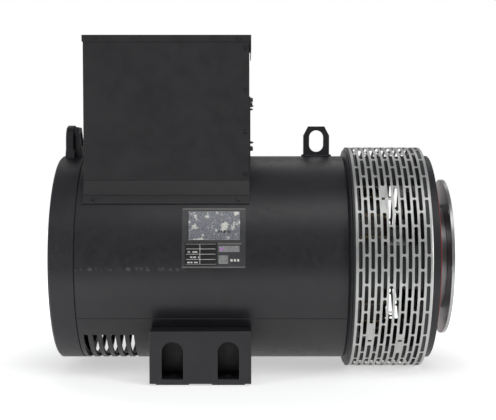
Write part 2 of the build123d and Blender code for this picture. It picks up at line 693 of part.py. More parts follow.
def coupling_hub():
    """Hub on the shaft's drive end: fan seat, neck and bolting flange."""
    face = -DISC_PACK
    bore = SHAFT_HUB_R + FIT
    hub = turned(
        [
            (X_HUB_REAR, bore),
            (X_HUB_REAR, HUB_SLEEVE_R - 2),
            (X_HUB_REAR + 2, HUB_SLEEVE_R),
            (FAN_FRONT, HUB_SLEEVE_R),
            (FAN_FRONT, HUB_NECK_R),
            (face - HUB_FLANGE, HUB_NECK_R),
            (face - HUB_FLANGE, HUB_FLANGE_R),
            (face, HUB_FLANGE_R),
            (face, bore),
        ]
    )
    return hub.cut(*disc_bolt_holes(face - HUB_FLANGE - 1, face + 1))


def disc_bolt_holes(x_from, x_to):
    """Clearance holes for the bolts that join the hub, the discs and the clamp ring."""
    hole = rod_x(x_from, x_to, 0, DISC_BOLT_R, BOLT_M12 / 2 + BOLT_CLEARANCE)
    return around(hole, DISC_BOLTS, DISC_BOLT_START)


def coupling_discs():
    """Pack of thin flexible discs, bolted to the hub at the middle and to the flywheel at the rim."""
    pack = ring(-DISC_PACK, 0, DISC_R, DISC_BORE_R)
    rim = around(rod_x(-DISC_PACK - 1, 1, 0, DISC_PCD / 2, DISC_HOLE_R), DISC_HOLES, DISC_HOLE_START)
    return pack.cut(*rim, *disc_bolt_holes(-DISC_PACK - 1, 1))


def clamp_ring():
    """Ring that spreads the bolts' load over the discs."""
    body = ring(0, CLAMP_RING, HUB_FLANGE_R, CLAMP_BORE_R)
    return body.cut(*disc_bolt_holes(-1, CLAMP_RING + 1))


def disc_bolts():
    """Bolts with their heads behind the hub flange, and their ends flush with the clamp ring's nuts."""
    length = HUB_FLANGE + DISC_PACK + CLAMP_RING
    one = bolt(BOLT_M12_FLATS, BOLT_M12_HEAD, BOLT_M12 / 2, length)
    return around(along_x(one, -DISC_PACK - HUB_FLANGE, 0, DISC_BOLT_R, False), DISC_BOLTS, DISC_BOLT_START)


def fan():
    """Centrifugal fan: hub ring, back plate and curved blades on the plate's rear side."""
    plate = ring(FAN_FRONT - FAN_PLATE, FAN_FRONT, FAN_R, HUB_SLEEVE_R + FIT)
    hub = ring(FAN_REAR, FAN_FRONT, FAN_HUB_R, HUB_SLEEVE_R + FIT)
    root = FAN_HUB_R - 3
    tip = FAN_R - 1
    y_tip = tip * sin(radians(FAN_LEAN))
    z_tip = tip * cos(radians(FAN_LEAN))
    y_mid = 0.34 * y_tip
    z_mid = (root + z_tip) / 2 + 5
    t = FAN_BLADE_T
    near = ThreePointArc((0, root), (y_mid, z_mid), (y_tip, z_tip))
    away = ThreePointArc((-t, root), (y_mid - t, z_mid), (y_tip - t, z_tip))
    ends = [Line(near @ 0, away @ 0), Line(near @ 1, away @ 1)]
    outline = make_face([near, away] + ends)
    blade = extrude(Plane.YZ.offset(FAN_REAR) * outline, FAN_FRONT - FAN_REAR - 1)
    blade = blade & ring(FAN_REAR, FAN_FRONT, FAN_R, HUB_SLEEVE_R + 3)
    return (plate + hub).fuse(*around(blade, FAN_BLADES))


# ---- exciter and rectifier ----


def exciter_stator():
    """Laminated field ring of the exciter."""
    return ring(X_EXCITER, X_EXCITER + EXCITER_LENGTH, EXCITER_R, EXCITER_BORE_R)


def exciter_armature():
    """Laminated armature on the shaft."""
    return ring(X_EXCITER + 2, X_EXCITER + EXCITER_LENGTH - 2, EXCITER_BORE_R - AIR_GAP, 45.0 + FIT)


def exciter_windings():
    """Armature end windings, one ring at each end."""
    x = X_EXCITER + 2
    far = X_EXCITER + EXCITER_LENGTH
    return [ring(x - 10, x, 108, 70), ring(far - 2, far + 8, 108, 70)]


def rectifier_plate():
    """Insulating ring that carries the rotating diodes."""
    return ring(X_RECTIFIER, X_RECTIFIER + RECTIFIER_T, 104, 45.0 + FIT)


def rectifier_diodes():
    """Stud diodes on the ring."""
    one = along_x(bolt(17, 8, 6, 3), X_RECTIFIER + RECTIFIER_T + 3, 0, 84)
    return around(one, 6, 15)


# ---- bearing ----


def race(inner, outer):
    """Bearing ring with its ball groove."""
    x0 = X_BEARING - BEARING_WIDTH / 2
    body = ring(x0, x0 + BEARING_WIDTH, outer, inner)
    groove = Pos(X_BEARING, BALL_PATH_R) * Circle(BALL_R + BALL_CLEARANCE)
    return body - revolve(groove, axis=Axis.X)


def bearing_balls():
    """Balls on their path."""
    return around(Pos(X_BEARING, 0, BALL_PATH_R) * Sphere(BALL_R), BALL_COUNT)


def bearing_cage():
    """Cage ring with one pocket round each ball."""
    body = ring(X_BEARING - 10, X_BEARING + 10, BALL_PATH_R + 3, BALL_PATH_R - 3)
    pockets = around(Pos(X_BEARING, 0, BALL_PATH_R) * Cylinder(BALL_R + BALL_CLEARANCE, 20), BALL_COUNT)
    return body.cut(*pockets)


# ---- terminal box ----


def box_saddle():
    """Flared sheet skirt between the box and the round frame, with flanges along both sides."""
    bend = FLARE_Z
    low = 0.0
    wide = HALF_W + FLARE_OUT
    profile = Polyline(
        (wide, low),
        (wide, bend),
        (HALF_W, BOX_BASE_Z),
        (HALF_W - SHEET, BOX_BASE_Z),
        (wide - SHEET, bend),
        (wide - SHEET, low),
        close=True,
    )
    side = extrude(Plane.YZ.offset(X_BOX_REAR) * make_face(profile), BOX_LENGTH)
    body = side + mirror(side, about=Plane.XZ)
    end = make_face(
        Polyline(
            (-wide, low),
            (-wide, bend),
            (-HALF_W, BOX_BASE_Z),
            (HALF_W, BOX_BASE_Z),
            (wide, bend),
            (wide, low),
            close=True,
        )
    )
    body += extrude(Plane.YZ.offset(X_BOX_REAR) * end, SHEET)
    body += extrude(Plane.YZ.offset(X_BOX_DRIVE - SHEET) * end, SHEET)
    body -= ring(X_BOX_REAR - 1, X_BOX_DRIVE + 1, FRAME_R + SEAT)
    strip = ring(X_BOX_REAR, X_BOX_DRIVE, FRAME_R + SEAT + SADDLE_FLANGE_T, FRAME_R + SEAT)
    top_angle = SADDLE_ANGLE - SADDLE_FLANGE_TUCK
    mask = Pos(X_BOX_REAR, FRAME_R) * Rectangle(BOX_LENGTH, 20, align=(Align.MIN, Align.CENTER))
    mask = revolve(mask, axis=Axis.X, revolution_arc=SADDLE_FLANGE_ANGLE)
    mask = Rot(top_angle - SADDLE_FLANGE_ANGLE, 0, 0) * mask
    flange = strip & mask
    return body + flange + mirror(flange, about=Plane.XZ)


def box_panel_front(side):
    """Front or rear wall of the box."""
    y = side * HALF_W
    ys = sorted((y, y - side * SHEET))
    return block(X_BOX_REAR, X_BOX_DRIVE, ys[0], ys[1], BOX_BASE_Z + SHEET_GAP, PANEL_TOP)


def box_panel_rear():
    """Wall at the rear end, between the side walls."""
    y = HALF_W - SHEET - SHEET_GAP
    wall = block(X_BOX_REAR, X_BOX_REAR + SHEET, -y, y, BOX_BASE_Z + SHEET_GAP, PANEL_TOP)
    return wall - ring(X_BOX_REAR - 1, X_BOX_REAR + 2 * SHEET, FRAME_R + SEAT)


def box_panel_drive():
    """Removable end wall at the drive side, with a folded flange along both uprights and a cable opening."""
    y = HALF_W - SHEET - SHEET_GAP
    wall = block(X_BOX_DRIVE - SHEET, X_BOX_DRIVE, -y, y, BOX_BASE_Z + SHEET_GAP, PANEL_TOP)
    for low in (-y, y - SHEET):
        fold = X_BOX_DRIVE - PANEL_FOLD
        wall += block(fold, X_BOX_DRIVE, low, low + SHEET, BOX_BASE_Z + SHEET_GAP, PANEL_TOP)
    half = GLAND_HALF - GLAND_LAND
    wall -= block(
        X_BOX_DRIVE - 2 * SHEET,
        X_BOX_DRIVE + 1,
        -half,
        half,
        GLAND_Z0 + GLAND_LAND + 10,
        GLAND_Z1 - GLAND_LAND,
    )
    return wall - ring(X_BOX_DRIVE - 2 * PANEL_FOLD, X_BOX_DRIVE + 1, FRAME_R + SEAT)


def box_lid():
    """Lid with lips down all four sides."""
    x0 = X_BOX_REAR - LID_OVERHANG
    x1 = X_BOX_DRIVE + LID_OVERHANG_DRIVE
    y = HALF_W + LID_OVERHANG
    lid = block(x0, x1, -y, y, BOX_TOP_Z - SHEET, BOX_TOP_Z)
    for x in (x0, x1 - SHEET):
        depth = LID_LIP if x == x0 else LID_LIP_DRIVE
        lid += block(x, x + SHEET, -y, y, BOX_TOP_Z - depth, BOX_TOP_Z)
    for side in (-1, 1):
        ys = sorted((side * y, side * (y - SHEET)))
        lid += block(x0, x1, ys[0], ys[1], BOX_TOP_Z - LID_LIP, BOX_TOP_Z)
    return lid


def gland_plate():
    """Blank cover over the cable opening."""
    plate = block(X_BOX_DRIVE, X_BOX_DRIVE + GLAND_PLATE, -GLAND_HALF, GLAND_HALF, GLAND_Z0, GLAND_Z1)
    return plate - ring(X_BOX_DRIVE - 1, X_BOX_DRIVE + 4, FRAME_R + SEAT)


def gland_bolts():
    """Hexagon bolts at the cover plate's corners."""
    one = extrude(RegularPolygon(5, 6, major_radius=False), 5.5)
    return [
        along_x(one, X_BOX_DRIVE + GLAND_PLATE, y, z)
        for y in (-GLAND_HALF + 8, GLAND_HALF - 8)
        for z in (GLAND_BOLT_LOW, GLAND_BOLT_HIGH)
    ]


def gland_studs():
    """Pointed ends of the screws that hold the cover plate's inner frame."""
    tip = Cylinder(GLAND_STUD_R, GLAND_STUD_OUT / 2, align=(Align.CENTER, Align.CENTER, Align.MIN))
    tip += Pos(0, 0, GLAND_STUD_OUT / 2) * Cone(
        GLAND_STUD_R, GLAND_STUD_R / 4, GLAND_STUD_OUT / 2, align=(Align.CENTER, Align.CENTER, Align.MIN)
    )
    return [
        along_x(tip, X_BOX_DRIVE + GLAND_PLATE, y, z)
        for y in (-GLAND_HALF + 8, GLAND_HALF - 8)
        for z in (GLAND_BOLT_LOW + GLAND_STUD_STEP, GLAND_BOLT_HIGH - GLAND_STUD_STEP)
    ]


def saddle_screws():
    """Screws through the saddle's lower flanges into the rolled frame."""
    head = Cylinder(SADDLE_SCREW_R, SADDLE_SCREW_HEAD, align=(Align.CENTER, Align.CENTER, Align.MIN))
    middle = SADDLE_ANGLE - SADDLE_FLANGE_TUCK - SADDLE_FLANGE_ANGLE / 2
    seat = FRAME_R + SEAT + SADDLE_FLANGE_T
    heads = []
    for angle in (middle, 180 - middle):
        for x in (X_BOX_REAR + SADDLE_SCREW_REAR, X_BOX_DRIVE - SADDLE_SCREW_DRIVE):
            heads.append(at_angle(angle) * Pos(x, 0, seat) * head)
    return heads


def side_screws(xs, zs, y):
    """Heads of the small screws in a wall, on both sides of the box."""
    one = Cylinder(SHEET_SCREW_R, SHEET_SCREW_HEAD, align=(Align.CENTER, Align.CENTER, Align.MIN))
    group = []
    for side in (-1, 1):
        for x in xs:
            for z in zs:
                group.append(Pos(x, side * y, z) * Rot(-90 * side, 0, 0) * one)
    return group


def terminal_tray():
    """Floor of the box above the frame, with the lead hole."""
    y = HALF_W - SHEET - 2 * SHEET_GAP
    x1 = X_BOX_DRIVE - PANEL_FOLD - 1
    plate = block(X_BOX_REAR + SHEET + 2 * SHEET_GAP, x1, -y, y, TRAY_Z, TRAY_Z + TRAY)
    return plate - Pos(X_CORE_REAR - OVERHANG_REAR / 2, 0, TRAY_Z) * Box(LEAD_HOLE, LEAD_HOLE, 4 * TRAY)


# ---- fasteners of the frame ----
def drive_frame_bolts():
    """Bolts from the window side through the drive-end frame's ring into the rolled frame's bosses."""
    one = along_x(bolt(BOLT_M12_FLATS, BOLT_M12_HEAD, BOLT_M12 / 2, 44), X_WINDOW, 0, FRAME_BOLT_R)
    return [at_angle(a) * one for a in DRIVE_BOLT_ANGLES]


def rear_shield_bolts():
    """Long bolts through the shield's bosses into the rolled frame's bosses."""
    length = X_FRAME_REAR - X_SHIELD_WALL + REGISTER + BOSS_LENGTH - 4
    blank = bolt(BOLT_M12_FLATS, BOLT_M12_HEAD, BOLT_M12 / 2, length)
    one = along_x(blank, X_SHIELD_WALL, 0, FRAME_BOLT_R, False)
    return [at_angle(a) * one for a in REAR_BOLT_ANGLES]


def rear_cover_screws():
    """Screws through the rear cover into the shield's spokes."""
    head = extrude(RegularPolygon(5, 6, major_radius=False), 4)
    one = along_x(head, X_SHIELD_WALL - SHEET, 0, COVER_SCREW_R, False)
    return around(one, 6)


# ---- inside the terminal box ----


def board_spots():
    """Centres of the terminal studs."""
    return [
        (X_BOARD + (i - 0.5) * 60.0, BOARD_Y + (j - 1) * STUD_PITCH)
        for i in range(STUD_ROWS)
        for j in range(STUD_COLUMNS)
    ]


def terminal_board():
    """Moulded board on two feet, with a hole for each stud."""
    z = TRAY_Z + TRAY
    x0 = X_BOARD - BOARD_LENGTH / 2
    y0 = BOARD_Y - BOARD_WIDTH / 2
    body = block(x0, x0 + BOARD_LENGTH, y0, y0 + BOARD_WIDTH, z + BOARD_FEET, z + BOARD_FEET + BOARD_T)
    for y in (y0, y0 + BOARD_WIDTH - 14):
        body += block(x0, x0 + BOARD_LENGTH, y, y + 14, z, z + BOARD_FEET)
    for x, y in board_spots():
        body -= Pos(x, y, z + BOARD_FEET) * Cylinder(STUD_R + FIT, 4 * BOARD_T)
    return body


def terminal_studs():
    """Brass studs through the board, each with a collar under it."""
    z = TRAY_Z + TRAY + BOARD_FEET
    one = Pos(0, 0, -8) * Cylinder(STUD_R, BOARD_T + 44, align=(Align.CENTER, Align.CENTER, Align.MIN))
    one += Pos(0, 0, -8) * Cylinder(10, 8, align=(Align.CENTER, Align.CENTER, Align.MIN))
    return [Pos(x, y, z) * one for x, y in board_spots()]


def terminal_nuts():
    """Hexagon nuts that clamp the leads on the studs."""
    z = TRAY_Z + TRAY + BOARD_FEET + BOARD_T
    one = extrude(RegularPolygon(9, 6, major_radius=False) - Circle(STUD_R + FIT), 10)
    return [Pos(x, y, z) * one for x, y in board_spots()]


def regulator_bracket():
    """Folded bracket that stands on the tray and carries the voltage regulator upright."""
    z = TRAY_Z + TRAY
    y = REGULATOR_Y + REGULATOR_T / 2
    x0 = X_REGULATOR - REGULATOR_LENGTH / 2 - 6
    x1 = X_REGULATOR + REGULATOR_LENGTH / 2 + 6
    top = REGULATOR_Z + REGULATOR_WIDTH / 2
    return block(x0, x1, y, y + SHEET, z, top) + block(x0, x1, y - 40, y, z, z + SHEET)


def voltage_regulator():
    """Potted regulator in its tray, with two trimmer wells in the open face."""
    y0 = REGULATOR_Y - REGULATOR_T / 2
    body = block(
        X_REGULATOR - REGULATOR_LENGTH / 2,
        X_REGULATOR + REGULATOR_LENGTH / 2,
        y0,
        y0 + REGULATOR_T,
        REGULATOR_Z - REGULATOR_WIDTH / 2,
        REGULATOR_Z + REGULATOR_WIDTH / 2,
    )
    for x in trimmer_spots():
        body -= Pos(x, y0, TRIMMER_Z) * Rot(90, 0, 0) * Cylinder(TRIMMER_R + TRIMMER_GAP, 16)
    return body


def trimmer_spots():
    """Trimmers side by side near the regulator's top."""
    return [X_REGULATOR - 15, X_REGULATOR + 15]


def trimmer(x):
    """Slotted adjuster that turns in its well."""
    y0 = REGULATOR_Y - REGULATOR_T / 2
    body = Pos(x, y0 + 7.7, TRIMMER_Z) * Rot(90, 0, 0) * Cylinder(
        TRIMMER_R, 11, align=(Align.CENTER, Align.CENTER, Align.MIN)
    )
    return body - block(x - 4, x + 4, y0 - 4, y0 - 1.5, TRIMMER_Z - 0.75, TRIMMER_Z + 0.75)


def earth_stud():
    """Earthing stud with its nut, welded to the tray inside the box."""
    stud = Cylinder(EARTH_STUD_R, EARTH_STUD_LENGTH, align=(Align.CENTER, Align.CENTER, Align.MIN))
    nut = extrude(RegularPolygon(EARTH_NUT_FLATS / 2, 6, major_radius=False), EARTH_NUT_T)
    return Pos(X_BOARD, EARTH_Y, TRAY_Z + TRAY) * (stud + nut)


def rating_label():
    """Thin label bent to the frame, left blank."""
    strip = ring(X_LABEL, X_LABEL + LABEL_LENGTH, FRAME_R + SEAT + LABEL_T, FRAME_R + SEAT)
    mask = Pos(X_LABEL, FRAME_R) * Rectangle(LABEL_LENGTH, 20, align=(Align.MIN, Align.CENTER))
    mask = revolve(mask, axis=Axis.X, revolution_arc=LABEL_ANGLE)
    return strip & (Rot(180 - SADDLE_ANGLE + LABEL_BELOW, 0, 0) * mask)


keep("main_housing", main_housing())
keep("near_foot", foot(-1))
keep("far_foot", foot(1))
keep("drive_end_lifting_eye", lifting_eye())
keep("rear_shield", rear_shield())
keep("rear_cover", rear_cover())
keep("drive_end_frame", drive_end_frame())
keep("outlet_guard", outlet_guard())
keep("stator_core", stator_core())
keep("stator_core_bars", core_bars())
keep("drive_end_winding", overhang(X_CORE_DRIVE, OVERHANG_DRIVE))
keep("rear_end_winding", overhang(X_CORE_REAR, -OVERHANG_REAR))
keep("exciter_stator", exciter_stator())
keep("shaft", shaft())
keep("rotor_core", rotor_core())
keep("rotor_coils", rotor_coils())
keep("coupling_hub", coupling_hub())
keep("coupling_discs", coupling_discs())
keep("clamp_ring", clamp_ring())
keep("disc_bolts", disc_bolts())
keep("fan", fan())
keep("exciter_armature", exciter_armature())
keep("exciter_windings", exciter_windings())
keep("rectifier_plate", rectifier_plate())
keep("rectifier_diodes", rectifier_diodes())
keep("bearing_outer_ring", race(BEARING_R - RACE_THICKNESS, BEARING_R))
keep("bearing_inner_ring", race(BEARING_BORE_R + FIT, BEARING_BORE_R + RACE_THICKNESS))
keep("bearing_balls", bearing_balls())
keep("bearing_cage", bearing_cage())
keep("box_saddle", box_saddle())
keep("box_front_panel", box_panel_front(-1))
keep("box_back_panel", box_panel_front(1))
keep("box_rear_panel", box_panel_rear())
keep("box_drive_panel", box_panel_drive())
keep("box_lid", box_lid())
keep("gland_plate", gland_plate())
keep("gland_bolts", gland_bolts())
keep("gland_studs", gland_studs())
keep("saddle_screws", saddle_screws())
keep("terminal_tray", terminal_tray())
keep("drive_frame_bolts", drive_frame_bolts())
keep("rear_shield_bolts", rear_shield_bolts())
keep("rear_cover_screws", rear_cover_screws())
keep("terminal_board", terminal_board())
keep("terminal_studs", terminal_studs())
keep("terminal_nuts", terminal_nuts())
keep("regulator_bracket", regulator_bracket())
keep("voltage_regulator", voltage_regulator())
keep("voltage_trimmer", trimmer(trimmer_spots()[0]))
keep("stability_trimmer", trimmer(trimmer_spots()[1]))
keep("earth_stud", earth_stud())
keep("rating_label", rating_label())
keep("lid_screws", side_screws(LID_SCREW_X, [BOX_TOP_Z - LID_SCREW_DOWN], HALF_W + LID_OVERHANG))
keep("panel_screws", side_screws([X_BOX_DRIVE - PANEL_SCREW_IN], PANEL_SCREW_Z, HALF_W))

os.makedirs("parts", exist_ok=True)
for name, shape in PARTS.items():
    solids = shape if isinstance(shape, list) else [shape]
    solids = [s for piece in solids for s in piece.solids()]
    export_step(Compound(children=solids) if len(solids) > 1 else solids[0], f"parts/{name}.step")
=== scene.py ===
import json
import math

import bmesh
import bpy
import numpy as np
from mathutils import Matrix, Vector


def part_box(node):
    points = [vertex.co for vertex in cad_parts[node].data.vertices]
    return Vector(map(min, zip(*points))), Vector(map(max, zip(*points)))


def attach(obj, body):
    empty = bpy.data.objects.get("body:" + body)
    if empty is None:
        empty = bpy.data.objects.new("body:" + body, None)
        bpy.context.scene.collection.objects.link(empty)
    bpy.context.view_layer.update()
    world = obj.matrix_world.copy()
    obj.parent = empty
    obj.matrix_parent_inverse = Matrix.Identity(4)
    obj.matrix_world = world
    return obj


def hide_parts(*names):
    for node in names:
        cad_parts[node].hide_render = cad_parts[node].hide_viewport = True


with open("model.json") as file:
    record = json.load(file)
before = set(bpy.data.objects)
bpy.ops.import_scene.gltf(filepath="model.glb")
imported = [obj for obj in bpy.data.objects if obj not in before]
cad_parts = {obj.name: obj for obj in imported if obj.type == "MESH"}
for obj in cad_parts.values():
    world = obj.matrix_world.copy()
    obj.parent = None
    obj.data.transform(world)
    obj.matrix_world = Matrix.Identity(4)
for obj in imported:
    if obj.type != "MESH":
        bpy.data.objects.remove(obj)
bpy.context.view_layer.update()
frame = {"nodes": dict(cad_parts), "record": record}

MM = 0.001
MERGE = 2e-6  # points nearer than this many metres are one
SHARP = 30.0  # degrees between faces that make an edge
RNG = np.random.default_rng(7)
BODY_OF = {name: body for body, names in frame["record"]["behaviour"]["bodies"].items() for name in names}
SLOT_OF = {part["node"]: part["material_slot"] for part in frame["record"]["subparts"]}


# ---------------------------------------------------------------- places read from the frame, in millimetres
def span(name):
    """Lowest and highest corners of a CAD node."""
    low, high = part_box(name)
    return np.array(low) / MM, np.array(high) / MM


HOUSING = span("main_housing")
GUARD = span("outlet_guard")
NOSE = span("drive_end_frame")
FOOT = span("near_foot")
EYE = span("drive_end_lifting_eye")
SADDLE = span("box_saddle")
LABEL = span("rating_label")
FRAME_R = HOUSING[1][2]
GUARD_R = GUARD[1][2]
SOLE_Z = FOOT[0][2]


def on_drum(x, radius, elevation):
    """Points at a radius about the shaft: elevation is in degrees above the near horizontal."""
    angle = np.radians(elevation)
    x, radius, angle = np.broadcast_arrays(x, radius, angle)
    return np.stack([x, -radius * np.cos(angle), radius * np.sin(angle)], axis=-1).astype(float)


# ---------------------------------------------------------------- mesh makers
def mesh_object(name, points, faces):
    """A mesh object at the origin from points in millimetres and a list or an array of faces."""
    mesh = bpy.data.meshes.new(name)
    places = np.asarray(points, float).reshape(-1, 3) * MM
    mesh.from_pydata(places.tolist(), [], [list(map(int, f)) for f in faces])
    mesh.update()
    obj = bpy.data.objects.new(name, mesh)
    bpy.context.scene.collection.objects.link(obj)
    return obj


def grid_faces(rows, columns, wrap_rows=False, wrap_columns=False):
    """Quads of a rows by columns grid of points, closed round either way where asked."""
    row = np.arange(rows if wrap_rows else rows - 1)
    column = np.arange(columns if wrap_columns else columns - 1)
    i, j = np.meshgrid(row, column, indexing="ij")
    i2, j2 = (i + 1) % rows, (j + 1) % columns
    corners = [i * columns + j, i * columns + j2, i2 * columns + j2, i2 * columns + j]
    return np.stack(corners, axis=-1).reshape(-1, 4)



def joined(parts):
    """Stacks (points, faces) pairs into one pair, shifting each part's face indices."""
    starts = np.cumsum([0] + [len(points) for points, _ in parts[:-1]])
    return np.vstack([p for p, _ in parts]), [f + s for (_, faces), s in zip(parts, starts) for f in faces]


def cleaned(obj, distance=MERGE, angle=32.0):
    """Merges doubled points, turns every face outwards, and shades smooth up to an angle in degrees."""
    bm = bmesh.new()
    bm.from_mesh(obj.data)
    bmesh.ops.remove_doubles(bm, verts=bm.verts, dist=distance)
    bmesh.ops.recalc_face_normals(bm, faces=bm.faces)
    bm.to_mesh(obj.data)
    bm.free()
    obj.data.shade_smooth()
    obj.data.set_sharp_from_angle(angle=math.radians(angle))
    return obj


def bevelled(obj, width):
    """Rounds every edge sharper than the sharp angle, by a width in millimetres."""
    bevel = obj.modifiers.new("Edges", "BEVEL")
    bevel.width = width * MM
    bevel.segments = 2
    bevel.limit_method = "ANGLE"
    bevel.angle_limit = math.radians(SHARP)
    bevel.use_clamp_overlap = True
    bevel.harden_normals = False
    bevel.miter_outer = "MITER_ARC"


def softened(profile, radius, steps):
    """A closed outline of (a, b) points with each corner replaced by an arc of the radius, or less where the
    sides are short. The arc's points blend the two tangent points through the corner."""
    profile = np.asarray(profile, float)
    before, after = np.roll(profile, 1, axis=0), np.roll(profile, -1, axis=0)
    to_before, to_after = before - profile, after - profile
    len_before = np.linalg.norm(to_before, axis=1, keepdims=True)
    len_after = np.linalg.norm(to_after, axis=1, keepdims=True)
    reach = np.minimum(radius, 0.45 * np.minimum(len_before, len_after))
    start = profile + to_before / len_before * reach
    end = profile + to_after / len_after * reach
    t = np.linspace(0, 1, steps + 1)[None, :, None]
    curve = (1 - t) ** 2 * start[:, None] + 2 * t * (1 - t) * profile[:, None] + t**2 * end[:, None]
    return curve.reshape(-1, 2)


def prism(outline, low, high):
    """Points and faces of an outline of (y, z) points, pushed along X from low to high."""
    outline = np.asarray(outline, float)
    count = len(outline)
    points = np.vstack([np.column_stack([np.full(count, x), outline]) for x in (low, high)])
    sides = [[i, (i + 1) % count, count + (i + 1) % count, count + i] for i in range(count)]
    return points, sides + [list(range(count)), list(range(count, 2 * count))]


def turned_to(points, direction, place):
    """Points made along +Z, turned to lie along a direction and moved to a place."""
    turn = np.array(Vector((0, 0, 1)).rotation_difference(Vector(direction)).to_matrix())
    return np.asarray(points) @ turn.T + np.asarray(place)


HEAD_STEPS = 48
HEAD_CONE = 0.577  # tangent of the 30 degree cone that cuts the corners


def hexagon_head(flats, height, washer_r, washer_t):
    """A hexagon head on a washer, along +Z. The hexagon's radius at each angle is the half width over the
    cosine of the angle from the nearest flat."""
    angle = np.linspace(0, 2 * np.pi, HEAD_STEPS, endpoint=False)
    from_flat = (angle + np.pi / 6) % (np.pi / 3) - np.pi / 6
    hexagon = flats / 2 / np.cos(from_flat)
    cone_top = washer_t + height - (hexagon - flats / 2) * HEAD_CONE
    washer = np.full(HEAD_STEPS, washer_r)
    rings = [
        (washer, 0.0),
        (washer, 0.75 * washer_t),
        (washer - 0.25 * washer_t, washer_t),
        (hexagon + 0.02, washer_t),
        (hexagon, washer_t + 0.01),
        (hexagon, cone_top - 0.12 * height),
        (hexagon - 0.03 * flats, cone_top),
        (np.full(HEAD_STEPS, flats * 0.475), washer_t + height),
        (np.full(HEAD_STEPS, flats * 0.02), washer_t + height),
    ]
    cosine, sine = np.cos(angle), np.sin(angle)
    circles = [np.column_stack([r * cosine, r * sine, np.broadcast_to(z, HEAD_STEPS)]) for r, z in rings]
    faces = grid_faces(len(rings), HEAD_STEPS, False, True).tolist()
    last = (len(rings) - 1) * HEAD_STEPS
    faces += [list(range(HEAD_STEPS)), list(range(last, last + HEAD_STEPS))]
    return np.stack(circles).reshape(-1, 3), faces


def fasteners(name, places, flats, height, washer_r, washer_t):
    """One object with a hexagon head at each (place, direction), each turned a little differently."""
    points, faces = hexagon_head(flats, height, washer_r, washer_t)
    parts = []
    for place, direction in places:
        turn = RNG.uniform(0, np.pi / 3)
        spin = np.array([[np.cos(turn), -np.sin(turn), 0], [np.sin(turn), np.cos(turn), 0], [0, 0, 1]])
        parts.append((turned_to(points @ spin.T, direction, place), [np.array(f) for f in faces]))
    return cleaned(mesh_object(name, *joined(parts)), angle=25.0)


def bead(name, path, radius, pitch=4.0, sides=12):
    """A weld bead along a path: a round section whose radius swells once a pitch, as a weld's ripples do."""
    path = np.asarray(path, float)
    steps = np.linalg.norm(np.diff(path, axis=0), axis=1)
    along = np.concatenate([[0], np.cumsum(steps)])
    count = max(8, int(along[-1] / pitch * 4))
    even = np.linspace(0, along[-1], count)
    centre = np.column_stack([np.interp(even, along, path[:, k]) for k in range(3)])
    tangent = np.gradient(centre, axis=0)
    tangent /= np.linalg.norm(tangent, axis=1, keepdims=True)
    outward = centre * [0, 1, 1]
    outward /= np.maximum(np.linalg.norm(outward, axis=1, keepdims=True), 1e-9)
    outward -= tangent * np.sum(tangent * outward, axis=1, keepdims=True)
    outward /= np.linalg.norm(outward, axis=1, keepdims=True)
    across = np.cross(tangent, outward)
    ripple = 0.14 * np.abs(np.sin(np.pi * even / pitch))
    swell = radius * (1 + ripple + 0.06 * RNG.standard_normal(count))
    swell *= np.clip(np.minimum(even, along[-1] - even) / radius, 0.25, 1.0)
    angle = np.linspace(0, 2 * np.pi, sides, endpoint=False)
    cosine, sine = np.cos(angle)[None, :, None], np.sin(angle)[None, :, None]
    ring = cosine * outward[:, None] + sine * across[:, None]
    points = centre[:, None] + swell[:, None, None] * ring
    faces = grid_faces(count, sides, False, True).tolist()
    faces += [list(range(sides)), list(range((count - 1) * sides, count * sides))]
    return cleaned(mesh_object(name, points, faces), angle=60.0)


# ---------------------------------------------------------------- material makers
def linear(code):
    """sRGB hex text to a linear RGBA tuple."""
    value = np.array([int(code[i:i + 2], 16) for i in (1, 3, 5)]) / 255.0
    curve = np.where(value <= 0.04045, value / 12.92, ((value + 0.055) / 1.055) ** 2.4)
    return (*curve.tolist(), 1.0)


def add(tree, kind, settings=None, links=None, **values):
    """Adds a node with its settings, sets its inputs by name, and links sockets to them by name or number."""
    new = tree.nodes.new(kind)
    for key, value in (settings or {}).items():
        setattr(new, key, value)
    for key, value in values.items():
        new.inputs[key.replace("_", " ")].default_value = value
    for key, socket in (links or {}).items():
        tree.links.new(socket, new.inputs[key])
    return new


def new_material(name):
    """An empty node material with its shader and its Object coordinates."""
    material = bpy.data.materials.new(name)
    material.use_nodes = True
    tree = material.node_tree
    tree.nodes.clear()
    output = tree.nodes.new("ShaderNodeOutputMaterial")
    shader = tree.nodes.new("ShaderNodeBsdfPrincipled")
    tree.links.new(shader.outputs["BSDF"], output.inputs["Surface"])
    return material, tree, shader, tree.nodes.new("ShaderNodeTexCoord").outputs["Object"]


def noise(tree, where, size_mm, detail=4.0, roughness=0.55):
    """Noise whose lumps are about a size in millimetres."""
    size = {"Scale": 1000.0 / size_mm, "Detail": detail, "Roughness": roughness}
    return add(tree, "ShaderNodeTexNoise", None, {"Vector": where}, **size).outputs["Fac"]



def remap(tree, value, low, high, to_low, to_high):
    """A value's range stretched to another, and held at its ends."""
    made = add(tree, "ShaderNodeMapRange", None, {"Value": value})
    for key, number in (("From Min", low), ("From Max", high), ("To Min", to_low), ("To Max", to_high)):
        made.inputs[key].default_value = number
    return made.outputs["Result"]


def result(tree, operation, first, second=0.0):
    """Result of a math node for a socket and a second socket or number."""
    made = add(tree, "ShaderNodeMath", {"operation": operation}, {0: first})
    if isinstance(second, float):
        made.inputs[1].default_value = second
    else:
        tree.links.new(second, made.inputs[1])
    return made.outputs[0]


def roughened(tree, shader, height, depth_mm):
    """Relief of a depth in millimetres on a shader, from a height."""
    relief = add(tree, "ShaderNodeBump", None, {"Height": height}, Strength=1.0, Distance=depth_mm * MM)
    tree.links.new(relief.outputs["Normal"], shader.inputs["Normal"])


